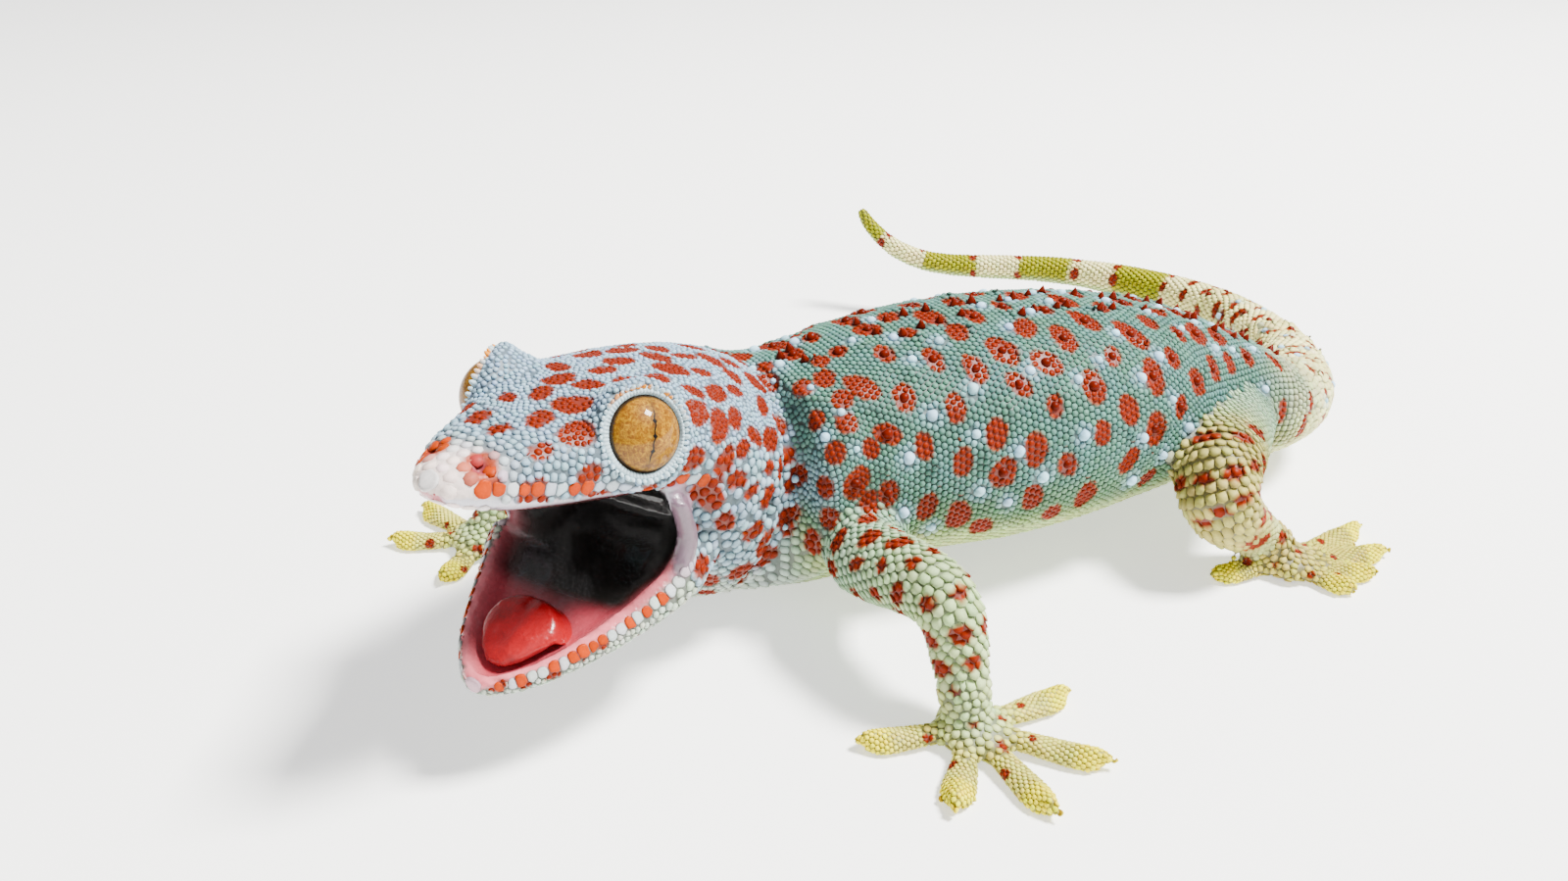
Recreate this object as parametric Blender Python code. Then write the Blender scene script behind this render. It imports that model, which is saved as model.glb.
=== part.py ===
"""Tokay gecko, life size: a still model that stands on all four feet with its mouth agape.

The animal faces -Y with its head turned to its left (+X). +Z is up and the feet rest at Z = 0.
Lengths are in millimetres here, and each object is scaled to metres when it is made.
"""

import math
import random

import bmesh
import bpy
import numpy as np
from mathutils import Vector

MM = 0.001
GAP = 0.3
# The point of the floor under the middle of the whole animal, which becomes the part's origin
FLOOR_MIDDLE = Vector((-1.2, 7.15, 0.0))
SEED = 7

# Sizes that set the animal
HEAD_HALF_WIDTH = 14.7
TRUNK_HALF_WIDTH = 18.5
EYE_RADIUS = 4.5
GAPE_DEG = 37.5

# The head stands on the end of the neck: snout tip, turn to the left of -Y, and upward pitch
SNOUT_TIP = Vector((41.8, -66.5, 36.3))
HEAD_TURN_DEG = 38.1
HEAD_PITCH_DEG = 20.0

# Centre line of trunk and tail: x, y, z, half width, rise above it and drop below it
TRUNK_STATIONS = [
    (17.4, -22.0, 19.4, 14.9, 12.2, 17.7),
    (16.9, -14.0, 19.3, 16.3, 13.8, 16.9),
    (16.5, -5.0, 19.1, 17.5, 14.9, 15.7),
    (16.5, 4.0, 18.9, TRUNK_HALF_WIDTH, 15.4, 15.7),
    (16.3, 14.0, 18.6, 18.3, 15.1, 15.1),
    (15.4, 24.0, 17.8, 17.3, 14.3, 13.9),
    (14.8, 33.0, 16.6, 15.2, 13.2, 13.0),
    (15.0, 41.0, 15.4, 12.6, 11.2, 11.2),
    (16.4, 47.5, 14.2, 10.6, 9.4, 9.4),
    (17.6, 53.0, 12.8, 8.8, 8.0, 7.9),
]
TAIL_STATIONS = [
    (17.0, 58.6, 11.8, 7.0, 6.5, 6.4),
    (13.8, 64.2, 11.0, 6.1, 5.6, 5.6),
    (7.6, 69.8, 10.4, 5.5, 5.1, 5.1),
    (-0.8, 74.8, 10.0, 5.0, 4.7, 4.7),
    (-9.8, 78.2, 9.6, 4.6, 4.3, 4.3),
    (-18.6, 79.8, 9.4, 4.2, 4.0, 4.0),
    (-27.2, 79.2, 9.4, 3.8, 3.6, 3.6),
    (-35.6, 76.2, 9.4, 3.4, 3.3, 3.3),
    (-43.2, 71.4, 9.6, 3.1, 3.0, 3.0),
    (-49.8, 65.0, 9.8, 2.8, 2.7, 2.7),
    (-54.6, 57.0, 10.0, 2.6, 2.5, 2.5),
    (-57.8, 48.6, 10.4, 2.4, 2.3, 2.3),
    (-61.0, 41.0, 11.2, 2.2, 2.1, 2.1),
    (-65.2, 35.4, 13.4, 1.9, 1.9, 1.9),
    (-69.2, 31.8, 17.2, 1.5, 1.5, 1.5),
    (-70.6, 30.2, 20.4, 1.0, 1.0, 1.0),
]
BODY_STEPS = 2
BODY_SIDES = 24
BODY_SQUARENESS = 2.15
# A ring nearer than this to a cut is left out, as a share of a station's spacing
LEAST_SPAN = 0.02
# Places along the body's stations where one named length ends and the next begins
TRUNK_END, TAIL_BASE_END, TAIL_MIDDLE_END = 9.5, 13.5, 18.5
LENGTH_SIDES = {"torso": BODY_SIDES, "tail_base": 18, "tail_middle": 14, "tail_tip": 10}
NECK_SPANS = 5

# Legs: x, y, z, radius. The first is inside the body and the last is in the wrist or ankle.
LEG_STATIONS = {
    "front_leg_left": [
        (20.0, -14.5, 13.6, 6.2), (27.5, -15.6, 13.0, 5.8), (35.0, -18.4, 12.8, 5.0),
        (42.0, -17.0, 14.2, 4.4), (48.0, -15.4, 14.2, 4.0), (50.2, -14.8, 10.2, 3.5),
        (52.4, -15.0, 6.2, 3.0), (54.0, -15.2, 2.6, 2.6),
    ],
    "front_leg_right": [
        (12.0, -18.0, 13.6, 6.2), (5.6, -23.0, 13.0, 5.8), (-0.6, -29.6, 13.0, 5.0),
        (-6.4, -36.2, 14.2, 4.4), (-9.8, -42.0, 13.8, 4.0), (-9.4, -47.8, 9.8, 3.5),
        (-7.4, -53.2, 5.8, 3.0), (-5.8, -56.6, 2.6, 2.6),
    ],
    "hind_leg_left": [
        (14.5, 51.0, 14.6, 7.0), (21.0, 46.0, 14.4, 6.4), (29.0, 38.4, 14.2, 5.9),
        (36.6, 30.6, 13.6, 5.6), (38.6, 31.0, 10.2, 4.8), (38.2, 35.0, 7.0, 3.9),
        (38.6, 38.4, 4.4, 3.1), (40.0, 40.6, 2.6, 2.6),
    ],
    "hind_leg_right": [
        (14.5, 51.0, 14.6, 7.0), (6.0, 46.0, 14.6, 6.4), (-4.0, 39.6, 14.8, 5.8),
        (-12.6, 33.6, 14.4, 5.3), (-16.4, 37.0, 11.2, 4.5), (-17.8, 43.6, 7.6, 3.7),
        (-19.2, 50.2, 4.4, 3.0), (-20.2, 53.0, 2.6, 2.6),
    ],
}
LEG_STEPS = 2
LEG_SIDES = 12
ANKLE_CUT = 6.0
# Stations from which a leg's cutter starts, and where it ends at the neck
LEG_CUT_START, NECK_CUT_END = 1, 3
ROUND = 2.0

# Feet: centre of the palm, its half length and half width, and each digit's bearing and length
# Bearings are degrees anticlockwise from +X in plan.
FEET = {
    "front_foot_left": {
        "leg": "front_leg_left", "palm": (54.6, -14.8), "palm_size": (3.9, 3.9),
        "digits": [(256, 11.8), (322, 11.4), (7, 13.2), (49, 14.0), (98, 12.8)],
    },
    "front_foot_right": {
        "leg": "front_leg_right", "palm": (-5.0, -57.4), "palm_size": (3.9, 3.9),
        "digits": [(318, 9.4), (246, 12.0), (206, 13.4), (164, 13.6), (116, 12.0)],
    },
    "hind_foot_left": {
        "leg": "hind_leg_left", "palm": (40.6, 41.0), "palm_size": (4.0, 3.8),
        "digits": [(264, 10.4), (24, 8.8), (54, 10.6), (79, 14.0), (102, 15.4)],
    },
    "hind_foot_right": {
        "leg": "hind_leg_right", "palm": (-20.8, 54.0), "palm_size": (4.0, 3.8),
        "digits": [(276, 10.2), (206, 10.8), (172, 13.0), (142, 14.6), (110, 14.4)],
    },
}
DIGIT_SIDES, TIP_BONE_SIDES, PALM_SIDES = 8, 5, 12
# Share of the palm's half length, share of its half width, and half height, about PALM_MIDDLE
PALM_STATIONS = [
    (-1.0, 0.5, 0.6), (-0.75, 0.75, 1.6), (-0.3, 1.0, 2.1),
    (0.3, 1.0, 1.9), (0.75, 0.75, 1.4), (1.0, 0.5, 0.6),
]
PALM_MIDDLE = 1.5
# Half width and depth of the block under the floor that cuts the soles flat
FLOOR_REACH, FLOOR_DEPTH = 30.0, 12.0
# Share of the digit's length, half width, thickness and height of the middle
DIGIT_STATIONS = [
    (0.1, 1.5, 1.35, 1.5), (0.36, 1.25, 1.1, 1.2), (0.58, 1.75, 0.9, 0.95),
    (0.8, 2.1, 0.8, 0.8), (0.94, 1.75, 0.7, 0.7), (1.0, 0.9, 0.5, 0.6),
]
TIP_BONE_STATIONS = [
    (0.64, 0.75, 0.7, 1.25), (0.84, 0.8, 0.75, 1.7), (1.0, 0.8, 0.75, 1.75), (1.11, 0.3, 0.3, 1.05),
]

# Head: distance behind the snout tip, half width, top, underside and squareness of each section
# Heights are above the line of the upper lip.
HEAD_STATIONS = [
    (-0.1, 1.3, 0.2, -1.2, 2.0),
    (0.6, 2.5, 1.0, -1.8, 2.2),
    (1.8, 3.6, 1.8, -2.3, 2.4),
    (3.7, 4.8, 2.8, -2.7, 2.5),
    (6.2, 6.1, 3.9, -3.0, 2.6),
    (9.2, 7.4, 5.1, -3.1, 2.6),
    (12.6, 8.8, 6.7, -3.1, 2.5),
    (16.2, 10.2, 8.4, -3.0, 2.4),
    (20.0, 11.4, 9.8, -2.8, 2.3),
    (23.6, 12.5, 10.6, -2.8, 2.3),
    (27.0, 13.5, 11.2, -4.4, 2.2),
    (30.2, 14.2, 11.8, -8.6, 2.2),
    (34.0, HEAD_HALF_WIDTH, 12.3, -12.4, 2.2),
    (38.0, 14.8, 12.6, -15.6, 2.2),
    (42.0, 14.5, 12.6, -17.8, 2.2),
    (45.6, 14.0, 12.2, -18.8, 2.2),
]
HEAD_SIDES = 24

# Lower jaw, measured forward from the hinge: half width and depth below the lip
HINGE_BACK, HINGE_DROP = 31.5, 4.8
JAW_STATIONS = [
    (-3.0, 10.5, 1.4, 8.0), (1.0, 12.2, 1.4, 8.2), (5.0, 13.0, 1.0, 7.4), (8.5, 12.6, 0.5, 6.6),
    (12.5, 11.4, 0.1, 5.8), (16.5, 9.9, 0.0, 5.0), (20.0, 8.1, 0.0, 4.4), (23.0, 6.2, 0.0, 3.9),
    (25.4, 4.2, 0.0, 3.3), (27.0, 2.3, -0.3, 2.6), (27.7, 1.0, -0.7, 2.0),
]
JAW_CUT = 8.0
JAW_SIDES, JAW_SQUARENESS = 20, 2.6
# Hollow of the mouth's floor in the lower jaw, and of the roof under the upper jaw
# The tongue lies on that floor: ahead of the hinge, half width, top and underside
FLOOR_STATIONS = [
    (-1.0, 7.8, 6.0, 3.0), (4.0, 10.2, 6.0, 3.0), (8.0, 10.9, 6.0, 3.0), (12.5, 9.9, 6.0, 3.0),
    (16.5, 8.5, 6.0, 2.9), (20.0, 6.8, 6.0, 2.8), (23.0, 4.9, 6.0, 2.5), (25.2, 2.9, 6.0, 2.0),
    (26.3, 1.3, 6.0, 1.5),
]
ROOF_STATIONS = [
    (2.4, 1.6, -2.2, -6.0), (5.0, 4.0, -1.8, -6.5), (9.0, 6.2, -1.4, -7.0), (14.0, 8.0, -1.1, -8.0),
    (20.0, 9.7, -0.9, -9.0), (26.0, 10.8, -1.0, -9.5), (30.0, 9.8, -1.6, -8.6), (33.0, 6.4, -3.0, -7.0),
]
TONGUE_STATIONS = [
    (8.0, 4.0, -1.4, -2.5), (11.0, 5.6, -0.4, -2.6), (14.5, 6.0, 0.3, -2.6), (18.0, 5.4, 0.7, -2.4),
    (21.0, 4.2, 0.5, -2.1), (23.2, 2.7, -0.1, -1.8), (24.4, 1.2, -0.8, -1.5),
]
TONGUE_SIDES = 14

# The wedge of open mouth ahead of the throat: reach from the hinge, half width and half height
THROAT_STATIONS = [(1.8, 5.5, 1.8), (5.0, 8.0, 2.8), (8.1, 9.4, 3.7), (10.8, 9.8, 4.6)]
MOUTH_SIDES = 12
FLOOR_SQUARENESS, ROOF_SQUARENESS, THROAT_SQUARENESS = 3.0, 2.4, 2.2

# Eye: behind the snout tip, to the side, above the lip line, and the way it looks
EYE_BACK, EYE_OUT, EYE_UP = 18.9, 8.7, 5.3
EYE_AHEAD_DEG, EYE_UP_DEG = 30.0, 12.0
EYE_SEGMENTS, EYE_RINGS = 16, 10
# The rim round it: how far along the way it looks, and its section
RIM_LIFT, RIM_RADIUS, RIM_HALF_WIDTH, RIM_RISE, RIM_DROP = 1.5, 4.75, 0.85, 0.85, 1.35
RIM_SPANS, RIM_SIDES = 18, 6
NOSTRIL = (3.2, 3.0, 1.9)
NOSTRIL_SIZE = (0.7, 0.7, 0.7)
EAR = (40.6, 14.6, -4.0)
EAR_SIZE = (0.9, 1.6, 2.6)
HOLLOW_SEGMENTS, HOLLOW_RINGS = 8, 6
# The fold of skin in each mouth corner: upper end and middle in the head's terms, lower end in the jaw's
FOLD_TOP, FOLD_MIDDLE, FOLD_BOTTOM = (24.6, 11.4, -1.6), (27.2, 11.8, -5.6), (6.2, 11.6, -0.8)
FOLD_RADIUS, FOLD_SIDES, FOLD_STEPS = 1.3, 8, 2

# Tubercles: cones in rows along the neck, trunk and tail base
# Each row is given by its angle from straight up
TUBERCLE_ROWS = (-78, -56, -34, -12, 12, 34, 56, 78)
TUBERCLE_SPACING = 6.8
TUBERCLE_RADIUS, TUBERCLE_HEIGHT, TUBERCLE_ROOT, TUBERCLE_SINK = 1.15, 1.2, 0.7, 0.2
TUBERCLE_SIDES = 5
TUBERCLE_MARGIN = 2.4
# How far each may stray along its row and round the body, and the range of their sizes
STRAY, STRAY_DEG, SIZE_RANGE = 0.6, 3.0, (0.8, 1.1)
# Tubercles keep this far from a leg's surface
LEG_CLEARANCE = 4.0

# Colour and roughness of each kind of surface
SURFACES = {
    "head_skin": ((0.56, 0.63, 0.72), 0.6),
    "body_skin": ((0.50, 0.60, 0.62), 0.6),
    "tail_skin": ((0.62, 0.62, 0.34), 0.6),
    "foot_skin": ((0.66, 0.62, 0.38), 0.6),
    "tongue": ((0.72, 0.10, 0.12), 0.25),
    "eye": ((0.62, 0.38, 0.08), 0.1),
}
SHARP_EDGE_DEG = 50.0


def smooth(stations, steps):
    """Rows through the given ones on a Catmull-Rom curve, with steps spans between each pair."""
    rows = np.array(stations, float)
    padded = np.vstack([2 * rows[0] - rows[1], rows, 2 * rows[-1] - rows[-2]])
    made = []
    for i in range(len(rows) - 1):
        a, b, c, d = padded[i : i + 4]
        for t in np.arange(steps) / steps:
            bend = (2 * a - 5 * b + 4 * c - d) * t**2 + (3 * b - 3 * c + d - a) * t**3
            made.append(0.5 * (2 * b + (c - a) * t + bend))
    return np.array(made + [rows[-1]])


def between(rings, steps, start, end):
    """The rings of a tube from place start to place end, counted in stations, with its ends made exactly there."""
    grid = np.array(rings)
    places = np.arange(len(grid)) / steps

    def at(place):
        i = min(int(place * steps), len(grid) - 2)
        share = place * steps - i
        return grid[i] * (1 - share) + grid[i + 1] * share

    inner = grid[(places > start + LEAST_SPAN) & (places < end - LEAST_SPAN)]
    return [[Vector(point) for point in ring] for ring in (at(start), *inner, at(end))]


def outline(half_width, rise, drop, square, sides):
    """One rounded section as (across, up) pairs: a superellipse with its own height above and below."""
    pairs = []
    for k in range(sides):
        angle = 2 * math.pi * k / sides
        c, s = math.cos(angle), math.sin(angle)
        across = math.copysign(abs(c) ** (2 / square), c) * half_width
        up = math.copysign(abs(s) ** (2 / square), s) * (rise if s > 0 else drop)
        pairs.append((across, up))
    return pairs


def loft(rings):
    """A closed mesh through rings of points, with a fan over each end."""
    sides = len(rings[0])
    points = [p for ring in rings for p in ring]
    faces = []
    for i in range(len(rings) - 1):
        for k in range(sides):
            a, b = i * sides + k, i * sides + (k + 1) % sides
            faces.append((a, b, b + sides, a + sides))
    for first, at_start in ((0, True), ((len(rings) - 1) * sides, False)):
        centre = sum((Vector(p) for p in points[first : first + sides]), Vector()) / sides
        points.append(centre)
        for k in range(sides):
            a, b = first + k, first + (k + 1) % sides
            faces.append((b, a, len(points) - 1) if at_start else (a, b, len(points) - 1))
    return points, faces


def new_object(name, points, faces):
    """A mesh object in metres, with its faces turned outwards."""
    mesh = bpy.data.meshes.new(name)
    mesh.from_pydata([(Vector(p) - FLOOR_MIDDLE) * MM for p in points], [], faces)
    work = bmesh.new()
    work.from_mesh(mesh)
    bmesh.ops.triangulate(work, faces=work.faces)
    bmesh.ops.recalc_face_normals(work, faces=work.faces)
    work.to_mesh(mesh)
    work.free()
    made = bpy.data.objects.new(name, mesh)
    bpy.context.scene.collection.objects.link(made)
    return made


def finish(target, surface):
    """Gives an object its own material, and smooth shading with sharp edges kept."""
    made = bpy.data.materials.new(f"{target.name}_{surface}")
    made.use_nodes = True
    shader = made.node_tree.nodes["Principled BSDF"]
    colour, roughness = SURFACES[surface]
    shader.inputs["Base Color"].default_value = (*colour, 1.0)
    shader.inputs["Roughness"].default_value = roughness
    target.data.materials.clear()
    target.data.materials.append(made)
    target.data.shade_smooth()
    target.data.set_sharp_from_angle(angle=math.radians(SHARP_EDGE_DEG))


def combine(target, others, operation="UNION"):
    """Applies one Boolean between target and a collection of the others, which are then removed."""
    group = bpy.data.collections.new(target.name + "_others")
    bpy.context.scene.collection.children.link(group)
    for other in others:
        bpy.context.scene.collection.objects.unlink(other)
        group.objects.link(other)
    cut = target.modifiers.new("combine", "BOOLEAN")
    cut.operation = operation
    cut.operand_type = "COLLECTION"
    cut.collection = group
    bpy.context.view_layer.update()
    graph = bpy.context.evaluated_depsgraph_get()
    made = bpy.data.meshes.new_from_object(target.evaluated_get(graph))
    target.modifiers.clear()
    target.data = made
    for other in others:
        bpy.data.objects.remove(other)
    bpy.data.collections.remove(group)
    keep_largest(target)
    return target


def keep_largest(target):
    """Leaves only the mesh's largest closed surface, and its faces as triangles."""
    work = bmesh.new()
    work.from_mesh(target.data)
    bmesh.ops.triangulate(work, faces=work.faces)
    unseen, shells = set(work.faces), []
    while unseen:
        shell, edge_of = [], [unseen.pop()]
        while edge_of:
            face = edge_of.pop()
            shell.append(face)
            for edge in face.edges:
                for other in edge.link_faces:
                    if other in unseen:
                        unseen.remove(other)
                        edge_of.append(other)
        shells.append(shell)
    shells.sort(key=lambda shell: sum(face.calc_area() for face in shell))
    loose = [face for shell in shells[:-1] for face in shell]
    bmesh.ops.delete(work, geom=loose, context="FACES")
    stray = [vert for vert in work.verts if not vert.link_faces]
    bmesh.ops.delete(work, geom=stray, context="VERTS")
    work.to_mesh(target.data)
    work.free()


def body_rows():
    return smooth(TRUNK_STATIONS + TAIL_STATIONS, BODY_STEPS)


def body_rings(sides, grow=0.0):
    """Rings of points round the body's whole centre line, each from the left over the top."""
    rows = body_rows()
    rings = []
    for i in range(len(rows)):
        along = Vector(rows[min(i + 1, len(rows) - 1), :3]) - Vector(rows[max(i - 1, 0), :3])
        along.normalize()
        left = along.cross(Vector((0, 0, 1))).normalized()
        up = left.cross(along).normalized()
        half_width, rise, drop = rows[i, 3:] + grow
        centre = Vector(rows[i, :3])
        section = outline(half_width, rise, drop, BODY_SQUARENESS, sides)
        rings.append([centre + left * x + up * z for x, z in section])
    return rings


def neck_rings():
    """Rings that run from just behind the head's last section to just ahead of the trunk's first."""
    forward = head_axes()[0]
    back, half_width, top, under, square = HEAD_STATIONS[-1]
    head_end = section_ring(in_head, back + GAP, half_width, top, under, square, HEAD_SIDES)
    rows = body_rows()
    along = (Vector(rows[1, :3]) - Vector(rows[0, :3])).normalized()
    trunk_start = [point - along * GAP for point in body_rings(BODY_SIDES)[0]]
    rings = []
    for i in range(NECK_SPANS + 1):
        t = i / NECK_SPANS
        ring = []
        for a, b in zip(head_end, trunk_start):
            reach = (b - a).length
            ends = a * (2 * t**3 - 3 * t**2 + 1) + b * (3 * t**2 - 2 * t**3)
            ways = -forward * (t**3 - 2 * t**2 + t) + along * (t**3 - t**2)
            ring.append(ends + ways * reach)
        rings.append(ring)
    return rings


def gap_place(place, rows, steps):
    """Half the gap at a cut, as a share of a station's spacing there."""
    i = min(int(place * steps), len(rows) - 2)
    span = np.linalg.norm(rows[i + 1, :3] - rows[i, :3]) * steps
    return 0.5 * GAP / span


def cone(place, normal, size, turn):
    """A tubercle: a low cone along the normal whose widest ring lies just under the skin."""
    side = normal.orthogonal().normalized()
    other = normal.cross(side)
    sides, radius = TUBERCLE_SIDES, TUBERCLE_RADIUS * size
    points = []
    for k in range(sides):
        angle = turn + 2 * math.pi * k / sides
        way = side * math.cos(angle) + other * math.sin(angle)
        points.append(place - normal * TUBERCLE_SINK + way * radius)
    points += [place + normal * (TUBERCLE_HEIGHT * size), place - normal * TUBERCLE_ROOT]
    faces = []
    for k in range(sides):
        n = (k + 1) % sides
        faces += [(k, n, sides), (n, k, sides + 1)]
    return points, faces


def on_rings(rings, place, angle_deg):
    """The point on a tube of rings at a place along it and an angle from straight up, and its normal."""
    sides = len(rings[0])
    i = min(int(place), len(rings) - 2)
    share = place - i
    around = (90 - angle_deg) / 360 * sides
    k = int(math.floor(around))
    across = around - k
    a, b = rings[i][k % sides], rings[i][(k + 1) % sides]
    c, d = rings[i + 1][k % sides], rings[i + 1][(k + 1) % sides]
    point = a.lerp(b, across).lerp(c.lerp(d, across), share)
    normal = (b - a + d - c).cross(c - a + d - b).normalized()
    centre = sum((Vector(p) for p in rings[i]), Vector()) / sides
    return point, normal if normal.dot(point - centre) > 0 else -normal


def tubercles(name, rings, angles, near_legs=()):
    """Cones in staggered rows over a tube of rings, left out where a leg grows."""
    dice = random.Random(SEED + len(rings))
    made = []
    for n, angle in enumerate(angles):
        line = [on_rings(rings, i, angle)[0] for i in range(len(rings))]
        run = np.concatenate([[0], np.cumsum([(b - a).length for a, b in zip(line, line[1:])])])
        first = TUBERCLE_MARGIN + (TUBERCLE_SPACING / 2 if n % 2 else 0)
        for distance in np.arange(first, run[-1] - TUBERCLE_MARGIN, TUBERCLE_SPACING):
            place = np.interp(distance + dice.uniform(-STRAY, STRAY), run, range(len(rings)))
            point, normal = on_rings(rings, place, angle + dice.uniform(-STRAY_DEG, STRAY_DEG))
            if any((point - Vector(leg)).length < reach for leg, reach in near_legs):
                continue
            shape = cone(point, normal, dice.uniform(*SIZE_RANGE), dice.uniform(0, 1))
            made.append(new_object(f"{name}_tubercle_{len(made)}", *shape))
    return made


def leg_rows(name):
    return smooth(LEG_STATIONS[name], LEG_STEPS)


def leg_rings(name, grow=0.0):
    """Rings along a whole leg, their frame carried from ring to ring so that they don't twist."""
    rows = leg_rows(name)
    rings, side = [], None
    for i in range(len(rows)):
        along = Vector(rows[min(i + 1, len(rows) - 1), :3]) - Vector(rows[max(i - 1, 0), :3])
        along.normalize()
        side = along.orthogonal() if side is None else side
        side = (side - along * side.dot(along)).normalized()
        other = along.cross(side)
        centre, radius = Vector(rows[i, :3]), rows[i, 3] + grow
        section = outline(radius, radius, radius, ROUND, LEG_SIDES)
        rings.append([centre + side * x + other * z for x, z in section])
    return rings


def leg_cutter(name, start, end):
    """A length of the leg with a gap round it, to keep a neighbour clear of it."""
    return new_object(name + "_cutter", *loft(between(leg_rings(name, GAP), LEG_STEPS, start, end)))


def body_cutter():
    """Trunk and tail base with a gap round them, to cut the legs where they grow from the body."""
    rings = between(body_rings(BODY_SIDES, GAP), BODY_STEPS, 0, TAIL_BASE_END)
    return new_object("body_cutter", *loft(rings))


def leg(name):
    """A leg from the trunk's side to the wrist or ankle."""
    end = ANKLE_CUT - gap_place(ANKLE_CUT, leg_rows(name), LEG_STEPS)
    made = new_object(name, *loft(between(leg_rings(name), LEG_STEPS, 0, end)))
    combine(made, [body_cutter()], "DIFFERENCE")
    finish(made, "body_skin")


def ankle_stub(name):
    """The end of the leg, which is fused to the foot."""
    start = ANKLE_CUT + gap_place(ANKLE_CUT, leg_rows(name), LEG_STEPS)
    rings = between(leg_rings(name), LEG_STEPS, start, len(LEG_STATIONS[name]) - 1)
    return new_object(name + "_stub", *loft(rings))


def flat_loft(name, start, bearing_deg, length, stations, sides):
    """A digit's pad or its last bone: a flattened tube that runs out over the floor from a point."""
    bearing = math.radians(bearing_deg)
    out = Vector((math.cos(bearing), math.sin(bearing), 0))
    left, up = Vector((-out.y, out.x, 0)), Vector((0, 0, 1))
    rings = []
    for share, half_width, half_height, middle in stations:
        centre = Vector((*start, 0)) + out * (share * length) + up * middle
        section = outline(half_width, half_height, half_height, ROUND, sides)
        rings.append([centre + left * x + up * z for x, z in section])
    return new_object(name, *loft(rings))


def foot(name):
    """Palm and five digits with their pads and last bones, joined to the leg's end and cut at the floor."""
    facts = FEET[name]
    pieces = [ankle_stub(facts["leg"])]
    for n, (bearing, length) in enumerate(facts["digits"]):
        line = (facts["palm"], bearing, length)
        pieces.append(flat_loft(f"{name}_pad_{n}", *line, DIGIT_STATIONS, DIGIT_SIDES))
        pieces.append(flat_loft(f"{name}_tip_{n}", *line, TIP_BONE_STATIONS, TIP_BONE_SIDES))
    half_length, half_width = facts["palm_size"]
    rings = []
    for share, wide, height in PALM_STATIONS:
        centre = Vector((facts["palm"][0] + share * half_length, facts["palm"][1], PALM_MIDDLE))
        section = outline(wide * half_width, height, height, ROUND, PALM_SIDES)
        rings.append([centre + Vector((0, y, z)) for y, z in section])
    palm = new_object(name, *loft(rings))
    combine(palm, pieces)
    centre = Vector((*facts["palm"], 0))
    corners = [Vector((x, y, 0)) * FLOOR_REACH for x, y in ((-1, -1), (1, -1), (1, 1), (-1, 1))]
    floor = [[centre + corner + Vector((0, 0, z)) for corner in corners] for z in (-FLOOR_DEPTH, 0)]
    combine(palm, [new_object("floor", *loft(floor))], "DIFFERENCE")
    combine(palm, [leg_cutter(facts["leg"], LEG_CUT_START, ANKLE_CUT)], "DIFFERENCE")
    finish(palm, "foot_skin")


def head_axes():
    """Unit vectors of the head: forward, left and up."""
    turn, pitch = math.radians(HEAD_TURN_DEG), math.radians(HEAD_PITCH_DEG)
    forward = Vector((math.sin(turn) * math.cos(pitch), -math.cos(turn) * math.cos(pitch), math.sin(pitch)))
    left = Vector((math.cos(turn), math.sin(turn), 0))
    return forward, left, forward.cross(left)


def in_head(back, out, above):
    """A place given behind the snout tip, to the left and above the line of the upper lip."""
    forward, left, up = head_axes()
    return SNOUT_TIP - forward * back + left * out + up * above


def in_jaw(ahead, out, above):
    """A place given ahead of the jaw's hinge, to the left and above the lower lip, with the jaw open."""
    forward, left, up = head_axes()
    gape = math.radians(GAPE_DEG)
    jaw_forward = forward * math.cos(gape) - up * math.sin(gape)
    jaw_up = up * math.cos(gape) + forward * math.sin(gape)
    return in_head(HINGE_BACK, 0, -HINGE_DROP) + jaw_forward * ahead + left * out + jaw_up * above


def section_ring(place, distance, half_width, top, under, square, sides):
    middle, half = (top + under) / 2, (top - under) / 2
    return [place(distance, x, middle + z) for x, z in outline(half_width, half, half, square, sides)]


def sections(name, place, stations, sides):
    """A loft of sections given as (distance, half width, top, underside, squareness)."""
    return new_object(name, *loft([section_ring(place, *row, sides) for row in stations]))


def jaw_rows(stations, square):
    return [(ahead, half_width, above, -below, square) for ahead, half_width, above, below in stations]


def jaw_loft(name, start, end):
    """A length of the lower jaw, before its floor is hollowed."""
    rings = [section_ring(in_jaw, *row, JAW_SIDES) for row in jaw_rows(JAW_STATIONS, JAW_SQUARENESS)]
    return new_object(name, *loft(between(rings, 1, start, end)))


def jaw_place(ahead):
    """The place along the lower jaw's stations that lies this far ahead of the hinge."""
    return float(np.interp(ahead, [row[0] for row in JAW_STATIONS], range(len(JAW_STATIONS))))


def mouth_floor():
    return sections("mouth_floor", in_jaw, jaw_rows(FLOOR_STATIONS, FLOOR_SQUARENESS), MOUTH_SIDES)


def mouth_roof():
    rows = [(*row, ROOF_SQUARENESS) for row in ROOF_STATIONS]
    return sections("mouth_roof", in_head, rows, MOUTH_SIDES)


def throat():
    """The wedge of open mouth between roof and floor, which ends in the throat."""
    forward, left, up = head_axes()
    half = math.radians(GAPE_DEG / 2)
    way = forward * math.cos(half) - up * math.sin(half)
    over = up * math.cos(half) + forward * math.sin(half)
    rings = []
    for reach, wide, tall in THROAT_STATIONS:
        centre = in_head(HINGE_BACK, 0, -HINGE_DROP) + way * reach
        section = outline(wide, tall, tall, THROAT_SQUARENESS, MOUTH_SIDES)
        rings.append([centre + left * x + over * z for x, z in section])
    return new_object("throat", *loft(rings))


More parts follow.
